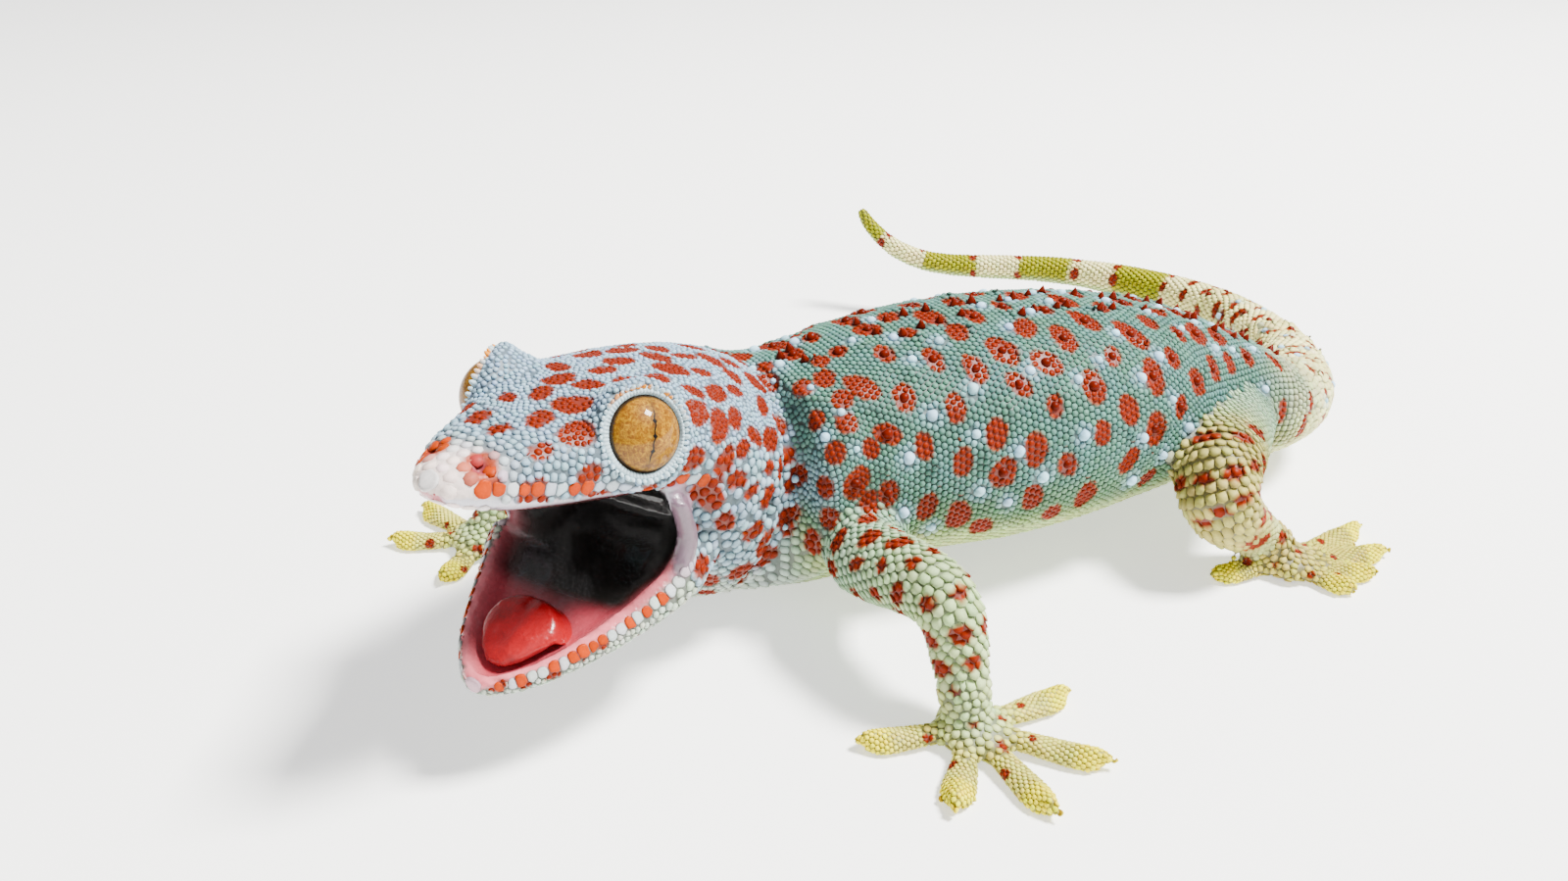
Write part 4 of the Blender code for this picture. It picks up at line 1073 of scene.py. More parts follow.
def scale_material(name, rough):
    """The horny scales: the markings' colour, a soft shine and a little grain."""
    material, tree, shader = new_material(name)
    shade, height = grain(tree, 0.00025)
    tree.links.new(shaded(tree, attribute(tree, "tint"), shade), shader.inputs["Base Color"])
    tree.links.new(math_node(tree, "MULTIPLY_ADD", shade, 0.2, rough - 0.2), shader.inputs["Roughness"])
    shader.inputs["Specular IOR Level"].default_value = 0.07
    tree.links.new(bump(tree, height, 0.25, 0.00004), shader.inputs["Normal"])
    return material


class GECKO_OT_skin(bpy.types.Operator):
    """Make the one skin that stands for every flesh solid"""

    bl_idname = "gecko.skin"
    bl_label = "Skin"

    def execute(self, context):
        sizes, colours = context.scene.gecko_sizes, context.scene.gecko_colours
        mesh = build_skin_surface(sizes)
        place_markings()
        tint, wet = markings(Skin.points, Skin.normals, Skin.region, colours)
        # Painted shade in the grooves between the scales: the skin's colour is darkened by GROOVE_SHADE, less
        # inside the spots and on the snout, and not at all on the wet lining
        smooth = snout_share(Skin.points) * inside(Skin.region, "head")
        even = np.maximum(smooth, even_share(Skin.points))
        groove = GROOVE_SHADE + (0.85 - GROOVE_SHADE) * even
        paint(mesh, "tint", tint * np.where(wet > 0.5, 1.0, groove)[:, None])
        paint(mesh, "wet", wet)
        new_piece("skin", mesh, skin_material("gecko skin"), "skin", *FLESH)
        return {"FINISHED"}


def search_tree(points):
    tree = KDTree(len(points))
    for index, point in enumerate(points.tolist()):
        tree.insert(point, index)
    tree.balance()
    return tree


def neighbours(points, count):
    """For each point, the indices of the nearest others."""
    tree = search_tree(points)
    return np.array([[found[1] for found in tree.find_n(point, count + 1)][1:] for point in points.tolist()])


def on_skin(points):
    """The nearest places on the skin, their smooth normals and their regions."""
    places, faces = np.empty_like(points), np.empty(len(points), int)
    for index, point in enumerate(points.tolist()):
        place, _, face, _ = Skin.tree.find_nearest(point)
        places[index] = place
        faces[index] = face
    corners = Skin.faces[faces]
    gaps = np.linalg.norm(Skin.points[corners] - places[:, None], axis=2) + 1e-3
    weights = (1 / gaps) / (1 / gaps).sum(axis=1, keepdims=True)
    normals = unit((Skin.normals[corners] * weights[:, :, None]).sum(axis=1))
    return places, normals, Skin.region[corners[:, 0]]


def pitch_field(points, normals, region, sizes):
    """The distance between scales wanted at each point, in millimetres, and 0 where no scale grows."""
    run, near, _ = along_line(points, BODY_LINE)
    back, _, above = head_places(points)
    head = inside(region, *HEAD_NODES)
    under = ramp(unit(points - near)[:, 2], *UNDERSIDE)
    trunk = sizes.trunk_scale * (1 - under) + sizes.belly_scale * under
    trunk = trunk * np.where(under > 0, 1, TRUNK_FINE + (1 - TRUNK_FINE) * ramp(run, *TRUNK_FINE_RUNS))
    beside = 1 + 0.45 * ramp(above, 5.5, 1.0) + 0.55 * ramp(above, 6.5, 2.5) * ramp(back, 21.0, 27.0)
    top = sizes.head_scale * np.maximum(beside, 1 + 0.45 * ramp(back, 13.0, 6.0))
    top = top * (1 + 0.6 * snout_share(points))
    pitch = np.where(head, top * (1 - 0.25 * ramp(above, -9.0, -14.0)), trunk)
    for name, rows in parts_of(region, LEG_NODES):
        pitch[rows] = np.interp(along_line(points[rows], LEG_LINES[name])[0], *leg_pitch(name, sizes)) * MM
    for name, rows in parts_of(region, FOOT_NODES):
        toes = ramp(np.linalg.norm(points[rows, :2] - FEET[name][0], axis=1), *TOE_FINE_REACH_MM)
        pitch[rows] = 0.65 * sizes.wrist_scale * (1 - toes) + sizes.foot_scale * toes
    tail = inside(region, *TAIL_NODES)
    pitch[tail] = sizes.tail_scale * (1 - (1 - TAIL_FINE) * ramp(run[tail], *TAIL_FINE_RUNS))
    bare = head & ((mouth_lining(points, normals) > 0.35) | (mouth_corner(points) > 0.6))
    bare |= head & (eye_gap(points) < EYE_BARE_MM)
    bare |= head & (np.linalg.norm(mirrored(points) - NOSTRIL, axis=1) < NOSTRIL_BARE_MM)
    bare |= (points[:, 2] < 0.3) & (normals[:, 2] < -0.5)
    return np.where(bare, 0.0, pitch / MM)


def even_places(sizes, fixed, fixed_pitch, dice):
    """Places all over the skin that keep the wanted distance from each other and from the fixed ones."""
    a, b, c = (Skin.points[Skin.faces[:, i]] for i in range(3))
    area = 0.5 * np.linalg.norm(np.cross(b - a, c - a), axis=1)
    middle, middle_normal = (a + b + c) / 3, unit(Skin.normals[Skin.faces].sum(axis=1))
    pitch = pitch_field(middle, middle_normal, Skin.region[Skin.faces[:, 0]], sizes)
    wanted = np.where(pitch > 0, area / np.maximum(pitch, 0.2) ** 2, 0)
    places, spacing = fixed.copy(), fixed_pitch.copy()
    for _ in range(SCALE_BATCHES):
        count = int(wanted.sum() * 0.8)
        face = dice.choice(len(area), count, p=wanted / wanted.sum())
        u, v = dice.random(count), dice.random(count)
        u, v = np.where(u + v > 1, 1 - u, u), np.where(u + v > 1, 1 - v, v)
        tried = a[face] + (b - a)[face] * u[:, None] + (c - a)[face] * v[:, None]
        reach = pitch[face] * SCALE_CLOSEST
        if len(places):
            tree = search_tree(places)
            gaps = np.array([tree.find(point)[1:] for point in tried.tolist()])
            free = gaps[:, 1] > 0.5 * (reach + spacing[gaps[:, 0].astype(int)] * SCALE_CLOSEST)
            tried, reach = tried[free], reach[free]
        tree = search_tree(tried)
        kept = np.zeros(len(tried), bool)
        for index, point in enumerate(tried.tolist()):
            near = [found[1] for found in tree.find_range(point, reach[index])]
            kept[index] = not kept[near].any()
        places = np.concatenate([places, tried[kept]])
        spacing = np.concatenate([spacing, reach[kept] / SCALE_CLOSEST])
    return places[len(fixed):]


def spread_out(places, held, fixed, fixed_pitch, sizes, rounds):
    """Pushes places apart along the skin until they lie evenly, round the fixed and the held ones."""
    count = len(places)
    places, normals, region = on_skin(places)
    for _ in range(rounds):
        pitch = np.maximum(pitch_field(places, normals, region, sizes), 0.3)
        everyone = np.concatenate([places, fixed])
        wide = np.concatenate([pitch, fixed_pitch])
        near = neighbours(everyone, 6)[:count]
        away = places[:, None] - everyone[near]
        gap = np.linalg.norm(away, axis=2) + 1e-6
        room = 0.56 * (pitch[:, None] + wide[near])
        push = np.maximum(room - gap, 0) / gap
        shift = 0.34 * (away * push[:, :, None]).sum(axis=1) * (~held)[:, None]
        places, normals, region = on_skin(places + shift)
    return places, normals, region


def lie_of(points, region):
    """The way that the scales point: towards the tail, the toes or the back of the head."""
    _, _, way = along_line(points, BODY_LINE)
    way[inside(region, *HEAD_NODES)] = -head_axes()[0]
    for name, rows in parts_of(region, LEG_NODES):
        way[rows] = along_line(points[rows], LEG_LINES[name])[2]
    for name, rows in parts_of(region, FOOT_NODES):
        palm = np.array([*FEET[name][0], 0.0])
        way[rows] = unit((points[rows] - palm) * (1, 1, 0) + (1e-6, 0, 0))
    return way


class Scales:
    """What is known of each scale, row by row: its root, its directions, its size and its colours."""

    def __init__(self, **columns):
        vars(self).update(columns)

    def part(self, rows):
        return Scales(**{name: values[rows] for name, values in vars(self).items()})


def cell_radii(scales, sides, most, near):
    """How far each scale reaches in each direction before it meets its neighbours."""
    away = scales.root[near] - scales.root[:, None]
    along = (away * scales.lie[:, None]).sum(axis=2)
    aside = (away * scales.across[:, None]).sum(axis=2)
    gap, bearing = np.hypot(along, aside), np.arctan2(aside, along)
    pitch = scales.pitch[:, None]
    share = pitch / (pitch + scales.pitch[near])
    facing = (scales.normal[near] * scales.normal[:, None]).sum(axis=2) > 0.25
    radii = np.empty((len(scales.root), sides))
    for i in range(sides):
        turn = np.cos(scales.phase[:, None] + 2 * math.pi * i / sides - bearing)
        limit = np.where((turn > 0.12) & facing, gap * share / np.maximum(turn, 0.12), np.inf)
        radii[:, i] = np.minimum(limit.min(axis=1), scales.pitch * most)
    return radii


def fast_mesh(name, points, faces_by_size):
    """A mesh from arrays: points in millimetres, and one array of faces for each number of corners."""
    mesh = bpy.data.meshes.new(name)
    totals = np.concatenate([np.full(len(faces), faces.shape[1]) for faces in faces_by_size])
    corners = np.concatenate([faces.ravel() for faces in faces_by_size])
    mesh.vertices.add(len(points))
    mesh.vertices.foreach_set("co", (points * MM).astype(np.float32).ravel())
    mesh.loops.add(len(corners))
    mesh.loops.foreach_set("vertex_index", corners.astype(np.int32))
    mesh.polygons.add(len(totals))
    mesh.polygons.foreach_set("loop_start", np.concatenate([[0], np.cumsum(totals)[:-1]]).astype(np.int32))
    mesh.update(calc_edges=True)
    mesh.validate()
    return mesh


def bake_patches(mesh, places, per_scale):
    """The OFBake map: each scale a patch at its root's place, the patch laid out by its points' order."""
    corner_point = np.empty(len(mesh.loops), np.int32)
    mesh.loops.foreach_get("vertex_index", corner_point)
    layer = mesh.uv_layers.new(name="OFBake")
    patch = np.array([(0.5 + r * math.cos(t), 0.5 + r * math.sin(t)) for r, t in per_scale])
    scale, inner = corner_point // len(patch), corner_point % len(patch)
    spots = places[scale] * (1 - BAKE_PATCH) + patch[inner] * BAKE_PATCH
    layer.data.foreach_set("uv", spots.astype(np.float32).ravel())


def scale_mesh(name, scales, radii, rings):
    """Closed scales in one mesh: rings of points from the sunk root up to the crown."""
    sides = radii.shape[1]
    turns = scales.phase[:, None] + 2 * math.pi * np.arange(sides) / sides
    cosine, sine = np.cos(turns), np.sin(turns)
    flat = scales.lie[:, None] * cosine[:, :, None] + scales.across[:, None] * sine[:, :, None]
    root, normals = scales.root - scales.normal * ROOT_SUNK_MM, scales.normal
    slope = scales.spot[:, 1:2] * cosine + scales.spot[:, 2:3] * sine
    tints = scales.tint[:, :, None].swapaxes(0, 1)
    layers, shades = [], []
    for share, rise, shade in rings:
        reach = radii[:, :, None] * share
        lift = rise * scales.height[:, None] if rise > 0 else np.full((len(root), 1), rise)
        lean = scales.tilt[:, None] * radii * share * cosine * (rise > 0)
        layers.append(root[:, None] + flat * reach + normals[:, None] * (lift + lean)[:, :, None])
        # Each ring's painted shade, evened out towards EVEN_SHADE inside the spots and on the snout
        lit = np.asarray(shade) + (EVEN_SHADE - np.asarray(shade)) * scales.even[:, None]
        shades.append(spotted(scales.spot[:, :1] + radii * share * slope, *tints) * lit[:, None])
    crown = (root + normals * scales.height[:, None])[:, None]
    points = np.concatenate([*layers, crown], axis=1)
    low, high = np.array(CAD_BOX) / MM
    points = np.clip(points, low + SCALES_IN_MM, high - SCALES_IN_MM)
    # The crown point lightened by CROWN_SHADE: a painted highlight
    crown_tint = spotted(scales.spot[:, 0], *scales.tint.swapaxes(0, 1)) * CROWN_SHADE
    colour_rows = np.concatenate([*shades, crown_tint[:, None]], axis=1)
    each = points.shape[1]
    start = (np.arange(len(root)) * each)[:, None, None]
    step = np.arange(sides)
    after = (step + 1) % sides
    quads = [
        np.stack([a + step, a + after, a + sides + after, a + sides + step], axis=1)
        for a in sides * np.arange(len(rings) - 1)
    ]
    last = (len(rings) - 1) * sides
    fans = np.stack([step + last, after + last, np.full(sides, each - 1)], axis=1)
    quads, fans = np.concatenate(quads)[None] + start, fans[None] + start
    floor = (sides - 1 - step)[None, None] + start
    faces = quads.reshape(-1, 4), fans.reshape(-1, 3), floor.reshape(-1, sides)
    mesh = fast_mesh(name, points.reshape(-1, 3), faces)
    paint(mesh, "tint", np.clip(colour_rows.reshape(-1, 3), 0, 1))
    layout = [(0.5 * share, 2 * math.pi * i / sides) for share, _, _ in rings for i in range(sides)]
    bake_patches(mesh, scales.unwrap, layout + [(0.0, 0.0)])
    return mesh


def unwrapped(points, normals, region):
    """Where each root lies on the unwrapped skin: along its part and round it, each from 0 to 1."""
    run, near, way = along_line(points, BODY_LINE)
    flat = np.empty((len(points), 2))
    flat[:, 0] = run / TAIL_TIP_RUN
    flat[:, 1] = turn_round(points - near, way)
    back, out, above = head_places(points)
    head = inside(region, *HEAD_NODES)
    flat[head, 0] = back[head] / (HEAD_LENGTH * 1.3) + 0.1
    flat[head, 1] = np.arctan2(out[head], above[head] + 3.0) / (2 * math.pi) + 0.5
    for name, rows in parts_of(region, LEG_NODES):
        run, near, way = along_line(points[rows], LEG_LINES[name])
        flat[rows, 0] = run / 50.0
        flat[rows, 1] = turn_round(points[rows] - near, way)
    for name, rows in parts_of(region, FOOT_NODES):
        flat[rows] = (points[rows, :2] - FEET[name][0]) / 40.0 + 0.5
        flat[rows, 1] = flat[rows, 1] * 0.5 + 0.5 * (normals[rows, 2] < 0)
    return np.clip(flat, 0, 1)


def turn_round(away, way):
    """The angle round a line, from 0 to 1."""
    side = unit(np.cross(way, (0.0, 0.0, 1.0)))
    up = np.cross(side, way)
    return np.arctan2((away * side).sum(axis=1), (away * up).sum(axis=1)) / (2 * math.pi) + 0.5


def snout_share(points):
    """1 on the smooth skin of the snout's tip, 0 behind it."""
    back, _, _ = head_places(points)
    return ramp(back + 1.2 * rough(points, 2.5, 15), 5.5, 3.0)


def relief(points, normals, region, pitch):
    """Each scale's height and how far its rear edge stands up: pebbles above, laid tiles below."""
    _, near, _ = along_line(points, BODY_LINE)
    tail, limbs, feet = (inside(region, *names) for names in (TAIL_NODES, LEG_NODES, FOOT_NODES))
    under = ramp(unit(points - near)[:, 2], *UNDERSIDE) * inside(region, *TRUNK_NODES)
    flat = np.maximum(under, snout_share(points) * inside(region, "head"))
    height = pitch * 0.40 * (1 - 0.45 * flat) * (1 - 0.58 * limbs - 0.48 * tail - 0.44 * feet)
    height = height * (0.85 + 0.3 * value_noise(points, 0.7, 51))
    tilt = 0.26 * under + 0.24 * tail + 0.28 * limbs + 0.22 * feet
    headroom = (CAD_TOP_MM - HEADROOM_MM - points[:, 2]) / np.maximum(normals[:, 2], 0.3)
    return np.minimum(height, np.clip(headroom, 0.1, 0.40)), tilt


def frames(line, runs):
    """A line's point, sideways and upward axes at each run; the axes follow it without twisting."""
    found, up = [], np.array((0.02, 0.01, 1.0))
    for run in runs:
        centre, way = line_place(line, run)
        up = unit(up - (up @ way) * way)
        found.append((centre, np.cross(way, up), up))
    return found


def shot(centre, rays, wanted, reach):
    """Where rays out of a point meet the wanted regions of the skin, and which of them do."""
    hits, good = np.zeros((len(rays), 3)), np.zeros(len(rays), bool)
    start = Vector(centre)
    for index, ray in enumerate(rays.tolist()):
        place, _, face, _ = Skin.tree.ray_cast(start, ray, reach)
        if place is not None and Skin.region[Skin.faces[face][0]] in wanted:
            hits[index] = place
            good[index] = True
    return hits, good


def row_places(line, ends, step, pitches, wanted, dice, reach=BODY_REACH_MM):
    """Scales in rows across a line, evenly spaced round each row and half a scale on from row to row."""
    runs = [ends[0]]
    while runs[-1] < ends[1]:
        runs.append(runs[-1] + step * np.interp(runs[-1], *pitches))
    angles = np.linspace(0, math.pi, ROW_RAYS)
    places, spacing = [], []
    for row, (centre, side, up) in enumerate(frames(line, runs)):
        pitch = np.interp(runs[row], *pitches)
        for hand in (1, -1):
            rays = up * np.cos(angles)[:, None] + hand * side * np.sin(angles)[:, None]
            hits, good = shot(centre, rays, wanted, reach)
            both = good[1:] & good[:-1]
            steps = np.where(both, np.linalg.norm(np.diff(hits, axis=0), axis=1), ROW_GAP_MM)
            gone = np.concatenate([[0], np.cumsum(steps)])
            start = 0.5 * pitch if row % 2 else pitch * (hand < 0)
            goals = np.arange(start, gone[-1] - 0.25 * pitch, pitch)
            goals = goals[both[np.clip(np.searchsorted(gone, goals) - 1, 0, len(both) - 1)]]
            found = np.stack([np.interp(goals, gone, hits[:, axis]) for axis in range(3)], axis=1)
            places.append(found + dice.normal(0, 0.03 * pitch, found.shape))
            spacing.append(np.full(len(found), pitch))
    return np.concatenate(places), np.concatenate(spacing)


def level_way(bearing):
    """The level direction at a bearing from +X, in degrees."""
    turn = math.radians(bearing)
    return np.array([math.cos(turn), math.sin(turn), 0.0])


def leg_pitch(name, sizes):
    """The scales' distance across a leg along its line: runs, and millimetres at each."""
    upper, lower = sizes.limb_scale / MM, sizes.wrist_scale / MM
    if name.startswith("hind"):
        return HIND_RUNS, (0.8 * upper, lower, lower, 0.9 * upper)
    return FRONT_RUNS, (upper, lower)


def laid_rows(sizes, dice):
    """Every scale that lies in rows, and its pitch: on the trunk, belly, tail, legs and toes."""
    trunk, tail = regions_of(*TRUNK_NODES), regions_of(*TAIL_NODES)
    fine, under, broad = sizes.trunk_scale / MM, sizes.belly_scale / MM, sizes.tail_scale / MM
    rows = [
        row_places(BODY_LINE, ends, ROW_STEP, pitches, wanted, dice)
        for ends, pitches, wanted in (
            (TRUNK_ROWS, (TRUNK_FINE_RUNS, (TRUNK_FINE * fine, fine)), trunk),
            (TRUNK_ROWS, ((0.0, 1.0), (under, under)), trunk),
            (TAIL_ROWS, (TAIL_FINE_RUNS, (broad, TAIL_FINE * broad)), tail),
        )
    ]
    for name, line in LEG_LINES.items():
        rows.append(row_places(line, LEG_ROWS, LEG_STEP, leg_pitch(name, sizes), regions_of(name), dice))
    for name, (palm, digits) in FEET.items():
        for bearing, length in digits:
            root, tip = (np.array([*palm, height]) for height in TOE_HEIGHTS_MM)
            line = root, tip + level_way(bearing) * length
            ends, toe = (TOE_FINE_REACH_MM[1] - 3.0, length - 0.3), sizes.foot_scale / MM
            pitches = ((0.0, 1.0), (toe, toe))
            rows.append(row_places(line, ends, TOE_STEP, pitches, regions_of(name), dice, TOE_REACH_MM))
    return np.concatenate([row[0] for row in rows]), np.concatenate([row[1] for row in rows])


def lip_places(dice):
    """The middles of the plates along both lips, and how wide each is."""
    places, widths = [], []
    for put, half_width, (first, last, step), above in (
        (in_head, UPPER_HALF_WIDTH, UPPER_PLATES, 0.1), (in_jaw, LOWER_HALF_WIDTH, LOWER_PLATES, -1.0),
    ):
        along = np.linspace(first, last, 200)
        wide = np.interp(along, *half_width) + LIP_OUT_MM
        run = np.concatenate([[0.0], np.cumsum(np.hypot(np.diff(along), np.diff(wide)))])
        for side in (1, -1):
            for place in np.arange(0.5 * step, run[-1], step):
                at = place + dice.normal(0, 0.10)
                places.append(put(np.interp(at, run, along), side * np.interp(at, run, wide), above))
                widths.append(step * dice.uniform(0.85, 1.15))
    places += [in_head(-0.4, 0.0, 0.6), in_jaw(27.9, 0.0, -1.0)]
    return np.array(places), np.array(widths + [2.0, 1.8])


def lip_tint(places, tint, colours):
    """Pale plates, some of them orange, as on the ground colour round them."""
    pale, orange = linear(*colours.lip), linear(*colours.head_spot)
    return mix(0.5 * tint + 0.5 * pale, 0.9 * orange, 1.0 * (spot_depth(places) > -0.05))


class GECKO_OT_scales(bpy.types.Operator):
    """Grow the scales, tubercles and lip plates over the skin"""

    bl_idname = "gecko.scales"
    bl_label = "Scales"

    def execute(self, context):
        sizes, colours = context.scene.gecko_sizes, context.scene.gecko_colours
        dice = np.random.default_rng(SEED + 1)
        raised = Marks.cones + Marks.tubercles
        lips, lip_width = lip_places(dice)
        middles = np.concatenate([[mark[0] for mark in raised], lips])
        special, special_normal, special_region = on_skin(middles)
        special_pitch = np.concatenate([[mark[2] * 2 for mark in raised], lip_width])
        laid, laid_pitch = laid_rows(sizes, dice)
        rows, row_normal, row_region = on_skin(laid)
        row_pitch = pitch_field(rows, row_normal, row_region, sizes)
        tree = search_tree(special)
        gaps = np.array([tree.find(point)[1:] for point in rows.tolist()])
        room = 0.46 * (row_pitch + special_pitch[gaps[:, 0].astype(int)])
        free = (gaps[:, 1] > room) & (np.abs(row_pitch - laid_pitch) < ROW_MATCH * row_pitch)
        rows, row_pitch, row_region = rows[free], row_pitch[free], row_region[free]
        fixed, fixed_pitch = np.concatenate([special, rows]), np.concatenate([special_pitch, row_pitch])
        loose = np.concatenate([rows, even_places(sizes, fixed, fixed_pitch, dice)])
        held = np.zeros(len(loose), bool)
        held[:len(rows)] = inside(row_region, *LEG_NODES, *FOOT_NODES)
        grown = spread_out(loose, held, special, special_pitch, sizes, SPREAD_ROUNDS)
        own = (special, special_normal, special_region)
        root, normal, region = (np.concatenate(pair) for pair in zip(own, grown))
        pitch = np.maximum(pitch_field(root, normal, region, sizes), 0.35)
        pitch[:len(special)] = special_pitch
        ends = np.cumsum([0, len(Marks.cones), len(Marks.tubercles), len(lips)])
        phase = dice.uniform(0, 2 * math.pi, len(root))
        phase[len(special):len(special) + len(rows)] = 0.0
        grow_scales(Scales(root=root, normal=normal, pitch=pitch, phase=phase), region, ends, colours, dice)
        return {"FINISHED"}


def grow_scales(scales, region, ends, colours, dice):
    """Makes the pieces: pebbles and tiles by region, tubercles and lip plates."""
    root, normal, pitch = scales.root, scales.normal, scales.pitch
    lie = lie_of(root, region)
    lie = unit(lie - normal * (lie * normal).sum(axis=1, keepdims=True))
    across = np.cross(normal, lie)
    tint, _ = markings(root, normal, region, colours, spots=False)
    tone = np.clip(dice.normal(1.0, 0.085, len(root)), 0.75, 1.25)[:, None]
    unwrap = unwrapped(root, normal, region)
    pale = np.array([mark[3] for mark in Marks.tubercles])
    cones, tubercles, lips = (slice(*pair) for pair in zip(ends, ends[1:]))
    tint[cones] = linear(*colours.tubercle_red)
    tint[tubercles] = mix(linear(*colours.tubercle_red), linear(*colours.tubercle_pale), pale)
    tint[lips] = lip_tint(root[lips], tint[lips], colours)
    tone = tone * (1 + dice.normal(0, HUE_SPREAD, (len(root), 3)))
    tint = np.stack([tint * tone, linear(*colours.spot_edge) * tone, linear(*colours.spot) * tone], axis=1)
    here = spot_depth(root)
    slopes = [(spot_depth(root + SLOPE_STEP_MM * way) - here) / SLOPE_STEP_MM for way in (lie, across)]
    spot = np.stack([rough_depth(root), *slopes], axis=1)
    spot[:ends[3]] = (-1.0, 0.0, 0.0)
    snout = 0.8 * snout_share(root) * inside(region, "head")
    even = np.maximum(snout, even_share(root))
    near = neighbours(root, 11)
    height, tilt = relief(root, normal, region, pitch)
    height *= (1 - 0.5 * even) * (1 - 0.6 * snout)
    vars(scales).update(
        lie=lie, across=across, tint=tint, spot=spot, even=even, unwrap=unwrap, height=height, tilt=tilt
    )
    for name, own, sides, rings, most, rise, lean in (
        ("back_cones", cones, 12, CONE_RINGS, 0.5, 0.80, 0.25),
        ("tubercles", tubercles, 12, BUMP_RINGS, 0.5, 0.40, 0.12),
        ("lip_plates", lips, 16, PLATE_RINGS, 0.70, 0.10, 0.0),
    ):
        radii = cell_radii(scales, sides, most, near)[own] * RAISED_FILL
        raised = scales.part(own)
        raised.height, raised.tilt = raised.pitch * rise, np.full(len(radii), lean)
        mesh = scale_mesh(name, raised, radii, rings)
        new_piece(name, mesh, scale_material("gecko " + name.replace("_", " "), 0.36), "skin")
    fill = np.where(tilt > 0, TILE_FILL, SCALE_FILL)[:, None]
    radii = cell_radii(scales, SCALE_SIDES, SCALE_WIDEST, near) * fill
    turns = scales.phase[:, None] + 2 * math.pi * np.arange(SCALE_SIDES) / SCALE_SIDES
    radii *= 1 + 0.6 * tilt[:, None] * np.maximum(np.cos(turns), 0)
    material = scale_material("gecko scales", 0.42)
    for name, nodes, slot, rings in SCALE_GROUPS:
        rows = np.nonzero(inside(region, *nodes))[0]
        rows = rows[rows >= ends[3]]
        rows = rows[np.argsort(unwrap[rows, 0], kind="stable")]
        parts = int(math.ceil(len(rows) / SCALES_PER_PIECE))
        for part, chosen in enumerate(np.array_split(rows, parts)):
            label = f"{name}_{part + 1}"
            mesh = scale_mesh(label, scales.part(chosen), radii[chosen], rings)
            new_piece(label, mesh, material, slot)


def ring_mesh(name, centre, axis, across, up, profile, steps):
    """A closed ring round an axis: profile(turn) gives its section as distances from and along the axis."""
    rows = []
    for step in range(steps):
        turn = 2 * math.pi * step / steps
        outward = across * math.cos(turn) + up * math.sin(turn)
        rows.append([centre + outward * wide + axis * rise for wide, rise in profile(turn)])
    points = np.array(rows)
    each = points.shape[1]
    i, j = np.meshgrid(np.arange(steps), np.arange(each), indexing="ij")
    after, beside = (i + 1) % steps, (j + 1) % each
    quads = np.stack([i * each + j, after * each + j, after * each + beside, i * each + beside], axis=-1)
    return reworked(new_mesh(name, points.reshape(-1, 3), quads.reshape(-1, 4).tolist()))


def lid_profile(side):
    """The lid's section at each turn: wider in front of the eye, finely ribbed on its inner face."""
    def section(turn):
        front = 0.5 - 0.5 * side * math.cos(turn)
        rib = LID_RIB_MM * math.sin(LID_RIBS * turn)
        wide = LID_WIDE_MM[0] + (LID_WIDE_MM[1] - LID_WIDE_MM[0]) * front
        base = EYE_OPENING_MM
        return (
            (base - 0.25, 1.75), (base, 2.28), (base + 0.12, 2.52 + rib),
            (base + 0.35 * wide, 2.62 + 1.6 * rib), (base + 0.62 * wide, 2.66 + rib),
            (base + 0.85 * wide, 2.52), (base + wide, 2.1),
            (base + 1.1 * wide, 1.2), (base + 0.5 * wide, 0.9),
        )
    return section


def fringe_tree(material):
    """Geometry nodes that stand the given scale round a circle: count, radius, lean and size are inputs."""
    tree = bpy.data.node_groups.new("lid fringe", "GeometryNodeTree")
    tree.interface.new_socket("Scale", in_out="INPUT", socket_type="NodeSocketGeometry")
    for name, kind in (("Count", "Int"), ("Radius", "Float"), ("Lean", "Float"), ("Seed", "Int")):
        tree.interface.new_socket(name, in_out="INPUT", socket_type="NodeSocket" + kind)
    tree.interface.new_socket("Fringe", in_out="OUTPUT", socket_type="NodeSocketGeometry")
    start, end = tree.nodes.new("NodeGroupInput"), tree.nodes.new("NodeGroupOutput")
    given = start.outputs
    size = {"Vertices": given["Count"], "Radius": given["Radius"]}
    circle = node(tree, "GeometryNodeMeshCircle", links=size)
    place = node(tree, "GeometryNodeInputPosition")
    turn = node(tree, "FunctionNodeAlignRotationToVector", axis="X", links={"Vector": place.outputs[0]})
    lean = node(tree, "ShaderNodeCombineXYZ", links={"Y": given["Lean"]})
    both = {0: turn.outputs[0], 1: lean.outputs[0]}
    leaned = node(tree, "FunctionNodeRotateRotation", rotation_space="LOCAL", links=both)
    seed = {"Seed": given["Seed"]}
    sizes = node(tree, "FunctionNodeRandomValue", {2: 0.75, 3: 1.2}, seed, data_type="FLOAT")
    ways = {"Rotation": leaned.outputs[0], "Scale": sizes.outputs[1]}
    things = {"Points": circle.outputs[0], "Instance": given["Scale"]}
    stood = node(tree, "GeometryNodeInstanceOnPoints", links={**things, **ways})
    real = node(tree, "GeometryNodeRealizeInstances", links={0: stood.outputs[0]})
    dressed = node(tree, "GeometryNodeSetMaterial", {"Material": material}, {"Geometry": real.outputs[0]})
    tree.links.new(dressed.outputs[0], end.inputs[0])
    return tree


def tab_mesh():
    """One small rounded scale of the lid's fringe, standing along +X from its root."""
    rows = ((0.0, 0.24, 0.20), (0.35, 0.27, 0.22), (0.62, 0.20, 0.16), (0.78, 0.07, 0.06))
    turns = 2 * math.pi * np.arange(RING_SIDES) / RING_SIDES
    points = []
    for reach, wide, thick in rows:
        points += [(reach, wide * math.cos(turn), thick * math.sin(turn)) for turn in turns]
    return new_mesh("fringe scale", points, tube_faces(len(rows)))


